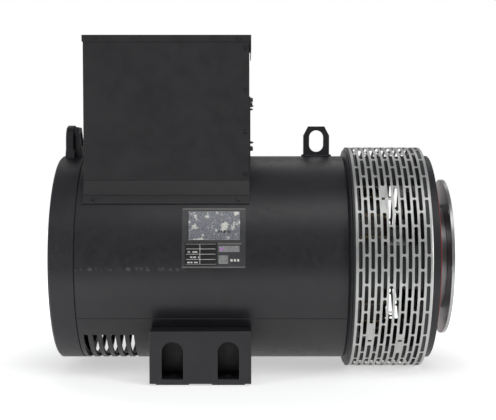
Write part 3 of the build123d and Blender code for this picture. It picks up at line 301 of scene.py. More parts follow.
def blend(tree, factor, first, second):
    """Mix of two colours, each a hex text or a socket."""
    mix = add(tree, "ShaderNodeMix", {"data_type": "RGBA"}, {0: factor})
    for index, colour in ((6, first), (7, second)):
        if isinstance(colour, str):
            mix.inputs[index].default_value = linear(colour)
        else:
            tree.links.new(colour, mix.inputs[index])
    return mix.outputs[2]


def coated(name, dark, light, rough, grain_mm, grain_depth_mm, patch_mm=45.0, metallic=0.0, spread=0.06,
           dust="#77746e", dust_amount=0.10):
    """A sprayed, dipped, plated or cast finish: two close tones in soft patches, patchy sheen, fine grain in
    relief, and specks of pale dust. The sizes are those of the real grain and patches."""
    material, tree, shader, where = new_material(name)
    patches = noise(tree, where, patch_mm, 5.0)
    colour = blend(tree, remap(tree, patches, 0.36, 0.66, 0.0, 1.0), dark, light)
    specks = remap(tree, noise(tree, where, 3.2, 3.0, 0.7), 0.68, 0.80, 0.0, dust_amount)
    tree.links.new(blend(tree, specks, colour, dust), shader.inputs["Base Color"])
    sheen = remap(tree, noise(tree, where, patch_mm / 4, 4.0), 0.3, 0.7, rough - spread, rough + spread)
    tree.links.new(sheen, shader.inputs["Roughness"])
    roughened(tree, shader, noise(tree, where, grain_mm, 3.0, 0.6), grain_depth_mm)
    shader.inputs["Metallic"].default_value = metallic
    return material


LAMINATION_SCALE = 159.16  # gives lines about 2 mm apart


def stacked_steel(name):
    """Varnished laminations: fine dark lines across the shaft, over grey steel."""
    material, tree, shader, where = new_material(name)
    lines = add(tree, "ShaderNodeTexWave", {"bands_direction": "X"}, {"Vector": where},
                Scale=LAMINATION_SCALE, Distortion=0.3, Detail=1.0)
    colour = blend(tree, lines.outputs["Fac"], "#2b2b2d", "#5a5a5b")
    tree.links.new(blend(tree, noise(tree, where, 30.0), colour, "#4a3a2e"), shader.inputs["Base Color"])
    shader.inputs["Metallic"].default_value = 0.5
    shader.inputs["Roughness"].default_value = 0.48
    return material


MATERIALS = {
    "black_frame_paint": coated("sprayed_black_enamel_on_rolled_steel", "#1f1f22", "#242427", 0.40, 3.0,
                                0.03),
    "black_cast_paint": coated("black_enamel_on_sand_cast_iron", "#1e1e22", "#232327", 0.46, 2.4, 0.25),
    "black_sheet_paint": coated("black_powder_coat_on_folded_sheet", "#232325", "#262628", 0.50, 1.2, 0.04,
                                120.0, dust_amount=0.03),
    "zinc_guard_sheet": coated("zinc_plated_punched_sheet", "#b9bab8", "#c9cac8", 0.42, 1.2, 0.006, 40.0,
                               0.75, 0.05, "#9a9a97", 0.05),
    "core_laminations": stacked_steel("varnished_electrical_steel_stack"),
    "varnished_winding": coated("resin_dipped_copper_winding", "#120c0a", "#22140e", 0.34, 2.5, 0.2, 12.0),
    "machined_steel": coated("turned_bright_steel", "#8b8b8d", "#9b9b9c", 0.34, 0.8, 0.003, 40.0, 1.0, 0.04,
                             "#6d655c", 0.08),
    "spring_steel_discs": coated("zinc_plated_spring_steel", "#a9aaab", "#b4b5b6", 0.33, 1.5, 0.002, 60.0,
                                 1.0, 0.03, dust_amount=0.03),
    "zinc_bolts": coated("bright_zinc_plated_bolt", "#b4b6b5", "#d2d3d2", 0.24, 0.8, 0.008, 6.0, 1.0),
    "cast_fan": coated("black_painted_cast_aluminium", "#202022", "#2b2b2d", 0.5, 1.6, 0.12),
    "moulded_insulation": coated("moulded_brown_insulation", "#5a1f16", "#6b281c", 0.45, 1.0, 0.03),
    "bearing_steel": coated("ground_bearing_steel", "#b8b9bb", "#c6c7c9", 0.2, 0.6, 0.004, 20.0, 1.0),
    "cage_brass": coated("machined_brass", "#a8884c", "#bd9c5b", 0.3, 0.8, 0.008, 12.0, 1.0),
    "blackened_screws": coated("black_oxide_screw", "#232325", "#353537", 0.34, 0.6, 0.008, 5.0),
    "potting_resin": coated("potting_resin", "#161b24", "#1d2430", 0.25, 2.0, 0.02),
    "white_nylon": coated("moulded_white_nylon", "#dcdbd6", "#e6e5e0", 0.45, 0.8, 0.008, 8.0),
}


def finish(obj, node=None, body=None, slot=None, material=None):
    """Gives a piece the finish and the body, and hides the CAD node or nodes that it stands for."""
    nodes = [node] if isinstance(node, str) else list(node or [])
    slot = slot or SLOT_OF[nodes[0]]
    obj.data.materials.clear()
    obj.data.materials.append(material or MATERIALS[slot])
    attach(obj, body or BODY_OF[nodes[0]])
    if nodes:
        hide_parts(*nodes)
    return obj


def refined(node, width):
    """A copy of a CAD node with its doubled points merged, its flats made whole and its edges rounded."""
    source = frame["nodes"][node]
    obj = bpy.data.objects.new(node + "_piece", source.data.copy())
    bpy.context.scene.collection.objects.link(obj)
    bm = bmesh.new()
    bm.from_mesh(obj.data)
    bmesh.ops.remove_doubles(bm, verts=bm.verts, dist=MERGE)
    bmesh.ops.dissolve_limit(bm, angle_limit=math.radians(0.2), verts=bm.verts, edges=bm.edges)
    bmesh.ops.recalc_face_normals(bm, faces=bm.faces)
    bm.to_mesh(obj.data)
    bm.free()
    if obj.data.has_custom_normals:
        with bpy.context.temp_override(object=obj, active_object=obj, selected_objects=[obj]):
            bpy.context.view_layer.objects.active = obj
            bpy.ops.mesh.customdata_custom_splitnormals_clear()
    obj.data.shade_smooth()
    obj.data.set_sharp_from_angle(angle=math.radians(SHARP))
    bevelled(obj, width)
    return finish(obj, node)


# ---------------------------------------------------------------- punched sheet on a drum
def cell_outline(long_steps, short_steps):
    """Points round a cell's edge, from -0.5 to 0.5 each way, in even steps along each side."""
    up = np.linspace(-0.5, 0.5, long_steps + 1)[:-1]
    across = np.linspace(-0.5, 0.5, short_steps + 1)[:-1]
    half_long, half_short = np.full(long_steps, 0.5), np.full(short_steps, 0.5)
    sides = [(half_long, up), (-across, half_short), (-half_long, -up), (across, -half_short)]
    return np.vstack([np.column_stack(s) for s in sides])


def slot_outline(length, width, long_steps, short_steps, squareness=1.0):
    """A slot's edge, one point for each point of its cell's edge: the straight sides take the long sides'
    middle points, and each end takes the rest as a half circle, or as a squarer half superellipse."""
    cap = width / 2 * squareness
    straight = length / 2 - cap
    count = max(2, long_steps - 6)
    side = np.linspace(-straight, straight, count + 1)
    turn = np.linspace(0, np.pi, long_steps - count + short_steps + 1)[1:-1]
    power = squareness
    rise = cap * np.sin(turn) ** power
    run = width / 2 * np.sign(np.cos(turn)) * np.abs(np.cos(turn)) ** power
    right = np.column_stack([np.full(count + 1, width / 2), side])
    top = np.column_stack([run, straight + rise])
    return np.roll(np.vstack([right, top, -right, -top]), (long_steps - count) // 2, axis=0)


def hole_outline(width, height, up, long_steps, short_steps):
    """A small rectangular hole's edge, moved up its cell, with as many points as the cell's edge."""
    return cell_outline(long_steps, short_steps) * [width, height] + [0.0, up]


def punched_cell(x, elevation, cell, hole, outer, inner, long_steps, short_steps, chamfer=0.3):
    """One cell of a punched sheet: its two faces round a hole, the hole's wall and a bevel at both edges.
    A distance up the cell becomes an angle on the drum's outer radius."""
    edge = cell_outline(long_steps, short_steps) * cell
    middle = hole.mean(axis=0)
    arm = hole - middle
    wider = middle + arm * (1 + chamfer / np.maximum(np.linalg.norm(arm, axis=1, keepdims=True), 1e-6))
    loops = [(edge, outer), (wider, outer), (hole, outer - chamfer), (hole, inner + chamfer)]
    loops += [(wider, inner), (edge, inner)]
    points = [on_drum(x + o[:, 0], r, elevation + np.degrees(o[:, 1] / outer)) for o, r in loops]
    return np.vstack(points), grid_faces(len(loops), len(edge), False, True)


def drum_strip(x, elevation, radius):
    """A strip of a drum: x and radius go together along it, and elevation goes round it."""
    points = on_drum(np.asarray(x)[:, None], np.asarray(radius)[:, None], np.asarray(elevation)[None, :])
    return points.reshape(-1, 3), grid_faces(len(x), len(elevation))


# ---------------------------------------------------------------- outlet guard
COLUMNS = 12
CELLS_ROUND = 25
PITCH = 13.0
CELL_ANGLE = 360.0 / CELLS_ROUND
PUNCH = (58.6, 7.7)  # length round the band and width
FIRST_CELL = {0: -1.2, 1: 6.0}  # where an even or an odd column's cells begin
PADS = {(4, 2): 0.0, (2, 22): -18.3, (7, 21): 13.1, (4, 14): 0.0, (2, 9): -18.3, (7, 8): 13.1}
PAD_HOLE = (8.5, 6.0)
GUARD_STEPS = (12, 4)
GUARD_SHEET = 1.5
ROLL = np.array([0.0, 0.35, 0.7, 0.9, 1.0])  # places across a rolled margin
ROLL_DROP = 0.9


def outlet_guard():
    """Zinc-plated band punched with staggered slots. A few cells keep their metal and have one small square
    hole, where the band's strap hooks in. Both margins roll inwards a little."""
    outer, inner = GUARD_R, GUARD_R - GUARD_SHEET
    margin = (GUARD[1][0] - GUARD[0][0] - COLUMNS * PITCH) / 2
    first = GUARD[0][0] + margin
    slot = slot_outline(*PUNCH, *GUARD_STEPS)
    parts = []
    for column in range(COLUMNS):
        for k in range(CELLS_ROUND):
            up = PADS.get((column, k))
            hole = slot if up is None else hole_outline(*PAD_HOLE, up, *GUARD_STEPS)
            middle = FIRST_CELL[column % 2] + (k + 0.5) * CELL_ANGLE
            cell = (PITCH, np.radians(CELL_ANGLE) * outer)
            x = first + (column + 0.5) * PITCH
            parts.append(punched_cell(x, middle, cell, hole, outer, inner, *GUARD_STEPS))
    elevation = FIRST_CELL[0] + np.arange(CELLS_ROUND * GUARD_STEPS[0] + 1) * CELL_ANGLE / GUARD_STEPS[0]
    for side, base in ((-1, first), (1, first + COLUMNS * PITCH)):
        x = base + side * margin * ROLL
        drop = ROLL_DROP * ROLL**2
        parts.append(drum_strip(x, elevation, outer - drop))
        parts.append(drum_strip(x, elevation, inner - drop))
        parts.append(drum_strip(np.full(2, x[-1]), elevation, [outer - drop[-1], inner - drop[-1]]))
    return finish(cleaned(mesh_object("outlet_guard_band", *joined(parts))), "outlet_guard")


# ---------------------------------------------------------------- rolled frame
AIR_SLOTS = 6
AIR_PITCH = 20.0
AIR_FIRST = 15.0
AIR_SLOT = (np.radians(45.0) * FRAME_R, 10.4)
AIR_CELL_ANGLE = 50.0
AIR_MIDDLES = (-65.0, -115.0)  # elevations of the two rows
AIR_SQUARENESS = 0.62
AIR_STEPS = (25, 4)
SEAM = -30.0  # elevation of the welded seam
SEAM_DEPTH = 0.9
SEAM_HALF = 0.35
HOUSING_WALL = 8.0
HOUSING_EDGE = 1.2
HOUSING_INNER_EDGE = 1.0


def rolled_housing():
    """Rolled tube with a closed seam along its near side and six air slots below on each side. The seam is a
    groove: the radius drops at one angle and returns a third of a degree either side."""
    low, high = HOUSING[0][0], HOUSING[1][0]
    outer, inner = FRAME_R, FRAME_R - HOUSING_WALL
    slot_from = low + AIR_FIRST - AIR_PITCH / 2
    slot_to = slot_from + AIR_SLOTS * AIR_PITCH
    parts = []
    hole = slot_outline(*AIR_SLOT, *AIR_STEPS, AIR_SQUARENESS)
    cell = (AIR_PITCH, np.radians(AIR_CELL_ANGLE) * outer)
    for k in range(AIR_SLOTS):
        x = slot_from + (k + 0.5) * AIR_PITCH
        for middle in AIR_MIDDLES:
            parts.append(punched_cell(x, middle, cell, hole, outer, inner, *AIR_STEPS, 0.8))
    seam = [SEAM - SEAM_HALF, SEAM, SEAM + SEAM_HALF]
    free = np.concatenate([np.arange(-40, -30.4, 2.0), seam, np.arange(-28, 220.1, 2.0)])
    whole = np.concatenate([np.arange(-140, -40, 2.0), free])
    fine = np.linspace(slot_from, slot_to, AIR_SLOTS * AIR_STEPS[1] + 1)
    ends = [np.array([low + HOUSING_EDGE, low + 2.0, slot_from]), np.linspace(slot_to, high - 1, 9)]

    def skin(x, elevation, radius, groove):
        """A strip of the tube whose radius drops by the groove's depth at the seam."""
        points, faces = drum_strip(x, elevation, np.full(len(x), radius))
        grid = points.reshape(len(x), len(elevation), 3)
        grid[:, elevation == SEAM, 1:] *= (radius - groove) / radius
        return grid.reshape(-1, 3), faces

    for radius, groove in ((outer, SEAM_DEPTH), (inner, 0.0)):
        parts.append(skin(fine, free, radius, groove))
        for x in ends:
            parts.append(skin(x, whole, radius, groove))
    for x, towards, edge in ((low, 1, HOUSING_EDGE), (high, -1, HOUSING_INNER_EDGE)):
        rim = [(x + towards * edge, outer), (x, outer - HOUSING_EDGE), (x, inner + 1), (x + towards, inner)]
        points, faces = drum_strip(np.array(rim)[:, 0], whole, np.array(rim)[:, 1])
        grid = points.reshape(len(rim), len(whole), 3)
        grid[0, whole == SEAM, 1:] *= (outer - SEAM_DEPTH) / outer
        parts.append((grid.reshape(-1, 3), faces))
    return finish(cleaned(mesh_object("rolled_housing", *joined(parts)), 5e-6), "main_housing")



# ---------------------------------------------------------------- end windings
COIL_GROUPS = 48
COIL_LEAN = 22.0  # degrees over the winding's length
COIL_SWELL = 1.5
STRANDS = 9  # ripples in each coil group
STRAND_DEPTH = 0.35
WINDING_STEPS = 576
LACES = 24
CORD_R = 1.1
CORD_LIFT = 1.9
CORD_SIDES = 6


def end_winding(node, core_side):
    """Machine-wound end winding: a fat ring whose surface swells in leaning coil groups, laced with cord. A
    point's swell is the larger of two waves that lean opposite ways round the ring."""
    low, high = span(node)
    x0, x1 = (low[0], high[0]) if core_side < 0 else (high[0], low[0])
    bulge = x0 + (x1 - x0) * 0.86
    tip = x1 - np.sign(x1 - x0) * 2
    corners = [(x0, 158), (bulge, 156), (tip, 168), (tip, 180), (bulge, 192), (x0, 186)]
    outline = softened(corners, 9.0, 7)
    turn = np.linspace(0, 360, WINDING_STEPS, endpoint=False)[:, None]
    lean = COIL_LEAN * (outline[None, :, 0] - x0) / (x1 - x0)
    forward, backward = [np.radians(COIL_GROUPS * (turn + way * lean)) for way in (1, -1)]
    wave = np.maximum(np.cos(forward), np.cos(backward))
    strands = STRAND_DEPTH * np.cos(np.radians(COIL_GROUPS * STRANDS * (turn + lean)))
    middle = outline.mean(axis=0)
    arm = outline - middle
    arm /= np.linalg.norm(arm, axis=1, keepdims=True)
    shaped = outline[None] + (COIL_SWELL * np.clip(wave, -0.4, 1) + strands)[..., None] * arm[None]
    points = on_drum(shaped[..., 0], shaped[..., 1], turn)
    faces = grid_faces(WINDING_STEPS, len(outline), True, True)
    finish(cleaned(mesh_object(node + "_coils", points, faces), angle=180), node)
    loops = []
    section = np.vstack([outline, outline[:1]])
    angle = np.linspace(0, 2 * np.pi, CORD_SIDES, endpoint=False)
    for k in range(LACES):
        for shift in (-0.5, 0.5):
            place = 360.0 / LACES * k + 3
            out = section - middle
            out = section + out / np.linalg.norm(out, axis=1, keepdims=True) * CORD_LIFT
            centre = on_drum(out[:, 0], out[:, 1], place + shift)
            side = on_drum(0.0, 1.0, place + 90)
            normal = centre - on_drum(middle[0], middle[1], place + shift)
            normal /= np.linalg.norm(normal, axis=1, keepdims=True)
            cord = np.cos(angle)[None, :, None] * normal[:, None] + np.sin(angle)[None, :, None] * side
            points = (centre[:, None] + CORD_R * cord).reshape(-1, 3)
            loops.append((points, grid_faces(len(out), CORD_SIDES, False, True)))
    lacing = cleaned(mesh_object(node + "_lacing", *joined(loops)), angle=80)
    finish(lacing, None, "frame", "varnished_winding", LACING)


RED_LACQUER = coated("red_rust_proofing_lacquer", "#7d1f1a", "#8c2620", 0.4, 1.0, 0.01, 10.0)
LACING = coated("varnished_lacing_cord", "#7a6a4c", "#94835f", 0.6, 0.8, 0.1, 6.0)

outlet_guard()
rolled_housing()
end_winding("drive_end_winding", -1)
end_winding("rear_end_winding", 1)

# ---------------------------------------------------------------- printed label
LABEL_X = LABEL[0][0]
LABEL_R = FRAME_R + 0.15
LABEL_LOW = -0.7  # elevation of the label's lower edge
LABEL_SPAN = 32.6
LABEL_SIZE = (LABEL[1][0] - LABEL[0][0], np.radians(LABEL_SPAN) * FRAME_R)
TABLE_ROWS = (18.0, 29.0, 40.0)


def wrapped(grid, low, high):
    """Closed slab over a grid of (along, up) places on the label, bent round the frame: its two faces lie at
    two heights over the frame, and a strip closes them all round."""
    grid = np.asarray(grid, float)
    rows, columns = grid.shape[:2]
    elevation = LABEL_LOW + np.degrees(grid[..., 1] / FRAME_R)
    sheets = [on_drum(LABEL_X + grid[..., 0], LABEL_R + h, elevation) for h in (low, high)]
    count = rows * columns
    index = np.arange(count).reshape(rows, columns)
    rim = np.concatenate([index[0], index[1:, -1], index[-1, -2::-1], index[-2:0:-1, 0]])
    after = np.roll(rim, -1)
    top = grid_faces(rows, columns)
    faces = np.vstack([top + count, top, np.stack([rim, after, after + count, rim + count], axis=-1)])
    return np.vstack([sheet.reshape(-1, 3) for sheet in sheets]), faces


def plate(u0, u1, v0, v1, low, high, steps=24):
    """Rectangle on the label."""
    u, v = np.meshgrid([u0, u1], np.linspace(v0, v1, steps))
    return wrapped(np.stack([u, v], axis=-1), low, high)


def frame_line(u0, u1, v0, v1, width, corner, low, high):
    """Outline of a rectangle with round corners on the label, as one closed loop."""
    turn = np.radians(np.linspace(0, 90, 7))
    loops = []
    for inset in (0.0, width):
        reach = max(corner - inset, 0.01)
        corners = [(u1, v1, 0), (u0, v1, 90), (u0, v0, 180), (u1, v0, 270)]
        points = []
        for u, v, quarter in corners:
            cu = u + (-corner if u == u1 else corner)
            cv = v + (-corner if v == v1 else corner)
            angle = turn + np.radians(quarter)
            points.append(np.column_stack([cu + reach * np.cos(angle), cv + reach * np.sin(angle)]))
        loops.append(np.vstack(points + [points[0][:1]]))
    return wrapped(np.stack(loops, axis=1), low, high)


def scattered(count, u0, u1, v0, v1, sizes, low, high):
    """Small plain blocks side by side along a strip, of uneven lengths."""
    edges = np.sort(RNG.uniform(u0, u1, count * 2))
    return [plate(a, max(b, a + sizes), v0, v1, low, high, 2) for a, b in edges.reshape(-1, 2)]


def rating_label():
    """A generic label with no words: a dark film with a pale border, a silver data panel, a small ruled table
    and plain blocks. Each layer of print stands a little higher than the one under it."""
    width, height = LABEL_SIZE
    base = mesh_object("label_base", *plate(0, width, 0, height, 0.0, 0.3, 40))
    finish(cleaned(base), "rating_label", material=INKS["film"])
    cells = [scattered(5, 12, 35, v - 7.5, v - 4.5, 1.8, 0.34, 0.38) for v in TABLE_ROWS]
    layers = {
        "band": [
            frame_line(0.8, 134.2, 0.8, height - 0.8, 2.2, 3.0, 0.29, 0.33),
            plate(76, 126, 50, 53, 0.29, 0.34),
        ],
        "ground": [
            plate(6.5, 74.5, 5.0, 54.0, 0.29, 0.33),
            plate(12.0, 124.5, 58.6, 123.8, 0.29, 0.345),
        ],
        "picture": [
            plate(78.0, 122.0, 34.0, 47.0, 0.29, 0.35),
            plate(78.0, 98.0, 9.0, 27.0, 0.29, 0.35),
        ],
        "white": [
            frame_line(9.0, 72.0, 8.0, 51.0, 1.2, 0.5, 0.31, 0.38),
            plate(38.0, 39.0, 8.6, 50.4, 0.31, 0.38),
            *[plate(9.6, 71.4, v, v + 0.9, 0.31, 0.375, 3) for v in TABLE_ROWS],
            *[plate(u, u + 4.6, 14.0, 19.0, 0.29, 0.36, 3) for u in (103.0, 110.0, 117.0)],
            *[block for row in cells for block in row],
        ],
        "violet": [plate(80.5, 88.0, 37.0, 43.5, 0.34, 0.38, 4)],
        "silver": [plate(14.0, 123.2, 60.0, 122.4, 0.33, 0.40, 40)],
        "edge": [frame_line(13.6, 123.6, 59.6, 122.8, 1.5, 0.4, 0.34, 0.415)],
        "black": scattered(9, 77, 106, 74.5, 80.0, 1.6, 0.39, 0.42),
    }
    for name, parts in layers.items():
        piece = cleaned(mesh_object("label_" + name, *joined(parts)), 1e-7)
        finish(piece, None, "frame", "label_film", INKS[name])


def silver_film(name):
    """Crinkled silver film: fine grey speckle, with whitish clouds where the crinkles catch the light."""
    material, tree, shader, where = new_material(name)
    grey = remap(tree, noise(tree, where, 2.2, 3.0, 0.8), 0.35, 0.65, 0.0, 1.0)
    speckle = blend(tree, grey, "#55575f", "#9a9ca3")
    clouds = remap(tree, noise(tree, where, 22.0, 5.0, 0.6), 0.57, 0.61, 0.0, 1.0)
    glints = remap(tree, noise(tree, where, 5.0, 2.0, 0.5), 0.66, 0.70, 0.0, 0.85)
    both = result(tree, "MAXIMUM", clouds, glints)
    tree.links.new(blend(tree, both, speckle, "#d6d5cf"), shader.inputs["Base Color"])
    shader.inputs["Roughness"].default_value = 0.42
    shader.inputs["Metallic"].default_value = 0.25
    roughened(tree, shader, noise(tree, where, 6.0, 3.0), 0.05)
    return material


INKS = {
    "film": coated("dark_printed_film", "#3c3c3e", "#434345", 0.38, 0.8, 0.003, 20.0),
    "band": coated("pale_grey_print", "#6d6d6a", "#797975", 0.40, 0.8, 0.003, 12.0),
    "ground": coated("black_print", "#1c1c1d", "#242425", 0.38, 0.8, 0.003, 12.0),
    "picture": coated("mid_grey_print", "#7f7f80", "#979797", 0.40, 0.8, 0.003, 6.0),
    "white": coated("white_print", "#cfcfcc", "#dededb", 0.42, 0.8, 0.003, 6.0),
    "violet": coated("violet_print", "#a878b8", "#b98bc6", 0.42, 0.8, 0.003, 6.0),
    "edge": coated("bright_film_edge", "#b4b4b2", "#d0d0cc", 0.40, 0.8, 0.003, 9.0),
    "black": coated("black_stamp", "#222224", "#3a3a3c", 0.42, 0.8, 0.003, 3.0),
    "silver": silver_film("crinkled_silver_film"),
}
rating_label()

# ---------------------------------------------------------------- nodes carried over with rounded edges
EDGES = {
    "near_foot": 1.4, "far_foot": 1.4, "drive_end_lifting_eye": 1.6, "rear_shield": 1.2,
    "drive_end_frame": 1.0, "rear_cover": 0.4, "box_saddle": 0.5, "box_front_panel": 0.6,
    "box_back_panel": 0.6, "box_rear_panel": 0.4, "box_drive_panel": 0.6, "box_lid": 0.7,
    "gland_plate": 0.5, "terminal_tray": 0.4, "coupling_discs": 0.4, "clamp_ring": 0.8, "coupling_hub": 1.0,
    "fan": 0.6, "shaft": 0.8, "rotor_core": 0.5, "rotor_coils": 3.0, "stator_core": 0.4,
    "stator_core_bars": 0.6, "exciter_stator": 0.5, "exciter_armature": 0.5, "exciter_windings": 2.5,
    "rectifier_plate": 0.8, "rectifier_diodes": 0.5, "bearing_outer_ring": 0.8, "bearing_inner_ring": 0.8,
    "terminal_board": 0.8, "terminal_studs": 0.4, "terminal_nuts": 0.6, "regulator_bracket": 0.4,
    "voltage_regulator": 1.0, "disc_bolts": 0.5, "drive_frame_bolts": 0.5, "rear_shield_bolts": 0.5,
    "earth_stud": 0.5,
}


SCUFF_Z = -5.0
SCUFF_HALF = 6.0
SCUFF_FROM, SCUFF_TO = -600.0, -560.0  # it fades between these places along the frame


def scuffed(material):
    """Adds a faint broken scuff along the frame at the height of its axis, where a strap rubbed the paint."""
    tree = material.node_tree
    shader = next(node for node in tree.nodes if node.type == "BSDF_PRINCIPLED")
    place = tree.nodes.new("ShaderNodeTexCoord").outputs["Object"]
    axes = add(tree, "ShaderNodeSeparateXYZ", None, {0: place})
    off = result(tree, "ABSOLUTE", result(tree, "ADD", axes.outputs["Z"], -SCUFF_Z * MM))
    band = remap(tree, off, 0.001, SCUFF_HALF * MM, 0.5, 0.0)
    broken = remap(tree, noise(tree, place, 8.0, 4.0, 0.7), 0.52, 0.62, 0.0, 1.0)
    reach = remap(tree, axes.outputs["X"], SCUFF_FROM * MM, SCUFF_TO * MM, 1.0, 0.0)
    amount = result(tree, "MULTIPLY", result(tree, "MULTIPLY", band, broken), reach)
    base = shader.inputs["Base Color"].links[0].from_socket
    tree.links.new(blend(tree, amount, base, "#6a6a6c"), shader.inputs["Base Color"])


scuffed(MATERIALS[SLOT_OF["main_housing"]])
BLACK_STEEL = coated("blackened_steel", "#3c3c3f", "#4e4e52", 0.28, 0.8, 0.003, 6.0, 0.7)
SHEET_SCREW = (6.6, 1.8, 5.0, 1.2)  # width over flats, height, washer's radius and thickness
SADDLE_SCREW = (7.0, 2.7, 5.5, 1.3)
GLAND_BOLT = (8.0, 4.4, 5.0, 1.1)
SADDLE_SINK = 2.0  # from a head's middle to its seat
WELD_R = 3.0
WELD_OUT = 1.2  # a bead's middle beyond the plate's face
WELD_LIFT = 1.0
FOLD = [(173.9, 153.2), (171.7, 151.4), (174.2, 147.6), (176.4, 149.2)]  # outline of (y, z) points
LACQUER_DEPTH = 6.6
LACQUER_R = 206


def screw_places(node):
    """Each solid's middle in a node of small screws, from the node's own mesh."""
    bm = bmesh.new()
    bm.from_mesh(frame["nodes"][node].data)
    bmesh.ops.remove_doubles(bm, verts=bm.verts, dist=MERGE)
    left, middles = set(bm.verts), []
    while left:
        island, front = [], [left.pop()]
        while front:
            vert = front.pop()
            island.append(vert)
            for edge in vert.link_edges:
                other = edge.other_vert(vert)
                if other in left:
                    left.remove(other)
                    front.append(other)
        points = np.array([v.co for v in island]) / MM
        middles.append((points.min(axis=0) + points.max(axis=0)) / 2)
    bm.free()
    return np.array(sorted(map(tuple, middles)))


def small_screws():
    """Flanged hexagon screws of the sheet metal, standing where the CAD heads are."""
    half_height = (SHEET_SCREW[1] + SHEET_SCREW[3]) / 2
    for node in ("lid_screws", "panel_screws"):
        places = [
            ((x, y - np.sign(y) * half_height, z), (0, np.sign(y), 0)) for x, y, z in screw_places(node)
        ]
        finish(fasteners(node + "_heads", places, *SHEET_SCREW), node, material=BLACK_STEEL)
    places = []
    for x, y, z in screw_places("saddle_screws"):
        outward = np.array([0, y, z]) / np.hypot(y, z)
        places.append((np.array([x, y, z]) - SADDLE_SINK * outward, outward))
    finish(fasteners("saddle_screws_heads", places, *SADDLE_SCREW), "saddle_screws", material=BLACK_STEEL)
    half_height = (GLAND_BOLT[1] + GLAND_BOLT[3]) / 2
    places = [((x - half_height, y, z), (1, 0, 0)) for x, y, z in screw_places("gland_bolts")]
    finish(fasteners("gland_bolts_heads", places, *GLAND_BOLT), "gland_bolts", material=BLACK_STEEL)


def saddle_fold(side, name):
    """The saddle's bend, between the skirt's lower edge and the flange strip that lies on the frame."""
    points, faces = prism([(side * y, z) for y, z in FOLD], SADDLE[0][0], SADDLE[1][0])
    finish(cleaned(mesh_object(name, points, faces)), None, "frame", SLOT_OF["box_saddle"])


def eye_weld(name, x, y):
    """A weld bead at the lifting eye's base, through points that lie on the frame's crown."""
    path = np.column_stack([x, y, np.sqrt(FRAME_R**2 - y**2) + WELD_LIFT])
    finish(bead(name, path, WELD_R), None, "frame", SLOT_OF["drive_end_lifting_eye"])


small_screws()
saddle_fold(-1, "saddle_fold_near")
saddle_fold(1, "saddle_fold_far")
for number, side in enumerate((-1, 1)):
    x = np.linspace(EYE[0][0] - 1.0, EYE[1][0] + 1.0, 12)
    eye_weld("eye_weld_" + str(number), x, np.full(12, side * (EYE[1][1] + WELD_OUT)))
for end, side in enumerate((-1, 1)):
    y = np.linspace(EYE[0][1], EYE[1][1], 8)
    eye_weld("eye_end_weld_" + str(end), np.full(8, EYE[end][0] + side * WELD_OUT), y)
for node_name, edge in EDGES.items():
    if node_name in frame["nodes"]:
        refined(node_name, edge)
nose = bpy.data.objects["drive_end_frame_piece"]
nose.data.materials.append(RED_LACQUER)
for polygon in nose.data.polygons:
    corners = np.array([nose.data.vertices[k].co for k in polygon.vertices]) / MM
    at_face = corners[:, 0].min() > NOSE[1][0] - LACQUER_DEPTH
    if at_face and np.hypot(corners[:, 1], corners[:, 2]).max() < LACQUER_R:
        polygon.material_index = 1
for node_name, obj in frame["nodes"].items():
    if not obj.hide_render:
        obj.data.materials.clear()
        obj.data.materials.append(MATERIALS[SLOT_OF[node_name]])

# ---------------------------------------------------------------- floor, light and camera
FLOOR = [(-2.2, -1.0), (1.4, -1.0), (1.4, 4.0), (-2.2, 4.0)]
FLOOR_MIDDLE = (-0.43, 0.0)
FLOOR_DROP = 0.0005
FLOOR_GLOW = 0.5  # the floor's own glow under the object, which rises to white away from it
GLOW_NEAR, GLOW_FAR = 0.45, 0.95
WORLD_LEVEL = 0.22


def background_ray(tree):
    """One for a ray that shows the background: from the camera, off a glossy face, or through a clear one."""
    path = tree.nodes.new("ShaderNodeLightPath").outputs
    seen = result(tree, "MAXIMUM", path["Is Camera Ray"], path["Is Glossy Ray"])
    return result(tree, "MAXIMUM", seen, path["Is Transmission Ray"])


def studio_floor():
    """A pale sheet that takes the object's shadow and fades to white away from it."""
    z = SOLE_Z * MM - FLOOR_DROP
    mesh = bpy.data.meshes.new("floor")
    mesh.from_pydata([(x, y, z) for x, y in FLOOR], [], [(0, 1, 2, 3)])
    floor = bpy.data.objects.new("floor", mesh)
    bpy.context.scene.collection.objects.link(floor)
    material, tree, shader, where = new_material("pale_studio_floor")
    shader.inputs["Base Color"].default_value = (0.9, 0.9, 0.9, 1)
    shader.inputs["Roughness"].default_value = 0.9
    shader.inputs["Emission Color"].default_value = (1, 1, 1, 1)
    shifted = add(tree, "ShaderNodeVectorMath", {"operation": "SUBTRACT"}, {0: where})
    shifted.inputs[1].default_value = (*FLOOR_MIDDLE, z)
    far = add(tree, "ShaderNodeVectorMath", {"operation": "LENGTH"}, {0: shifted.outputs[0]}).outputs["Value"]
    glow = remap(tree, far, GLOW_NEAR, GLOW_FAR, FLOOR_GLOW, 1.0)
    tree.links.new(result(tree, "MULTIPLY", background_ray(tree), glow), shader.inputs["Emission Strength"])
    mesh.materials.append(material)


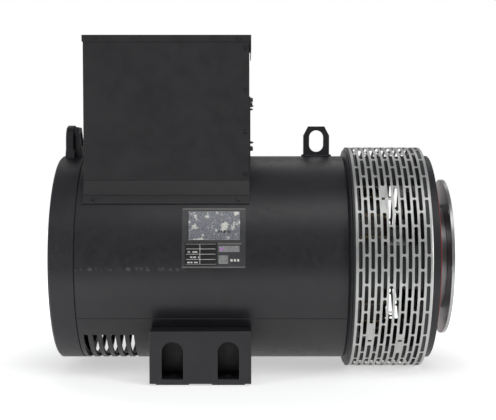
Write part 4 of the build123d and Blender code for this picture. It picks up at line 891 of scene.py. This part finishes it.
def studio_world():
    """White to the camera. Reflections see white low down behind the object, and the rest is a dim grey."""
    world = bpy.data.worlds.new("studio")
    world.use_nodes = True
    bpy.context.scene.world = world
    tree = world.node_tree
    tree.nodes.clear()
    output = tree.nodes.new("ShaderNodeOutputWorld")
    place = tree.nodes.new("ShaderNodeTexCoord").outputs["Generated"]
    direction = add(tree, "ShaderNodeSeparateXYZ", None, {0: place}).outputs
    behind = remap(tree, direction["Y"], 0.3, 0.8, 0.0, 1.0)
    low = remap(tree, result(tree, "ABSOLUTE", direction["Z"]), 0.12, 0.36, 1.0, 0.0)
    shown = result(tree, "MULTIPLY", result(tree, "MULTIPLY", behind, low), background_ray(tree))
    camera_ray = tree.nodes.new("ShaderNodeLightPath").outputs["Is Camera Ray"]
    white = result(tree, "MAXIMUM", shown, camera_ray)
    lit = add(tree, "ShaderNodeBackground", None, None, Color=(0.96, 0.98, 1.0, 1), Strength=WORLD_LEVEL)
    clear = add(tree, "ShaderNodeBackground", None, None, Color=(1, 1, 1, 1), Strength=1.0)
    mix = add(tree, "ShaderNodeMixShader", None, {0: white, 1: lit.outputs[0], 2: clear.outputs[0]})
    tree.links.new(mix.outputs[0], output.inputs["Surface"])


def lamp(name, place, target, size, power):
    """A rectangular soft lamp in metres and watts, aimed at a point."""
    light = bpy.data.lights.new(name, "AREA")
    light.shape = "RECTANGLE"
    light.size, light.size_y = size
    light.energy = power
    obj = bpy.data.objects.new(name, light)
    bpy.context.scene.collection.objects.link(obj)
    obj.location = place
    obj.rotation_euler = (Vector(target) - Vector(place)).to_track_quat("-Z", "Y").to_euler()


def camera():
    """A short telephoto lens a little above the shaft, looking slightly down at the near side."""
    data = bpy.data.cameras.new("camera")
    data.lens, data.sensor_width = 84.6, 36.0
    obj = bpy.data.objects.new("camera", data)
    bpy.context.scene.collection.objects.link(obj)
    obj.location = (-0.447, -2.677, 0.267)
    obj.rotation_euler = (math.pi / 2 - 0.06, 0.0, 0.0)
    bpy.context.scene.camera = obj


studio_floor()
studio_world()
lamp("overhead_front", (0.25, -1.35, 2.1), (-0.35, 0.0, 0.0), (2.4, 1.0), 15)
lamp("overhead_back", (-0.4, 1.6, 1.9), (-0.4, 0.0, 0.1), (3.0, 0.8), 8)
lamp("left_front", (-3.0, -2.0, 0.8), (-0.5, 0.0, 0.0), (1.0, 2.0), 32)
lamp("right_front", (2.1, -2.2, 0.8), (-0.3, 0.0, 0.0), (1.0, 2.0), 38)
camera()
bpy.context.scene.view_settings.view_transform = "Standard"
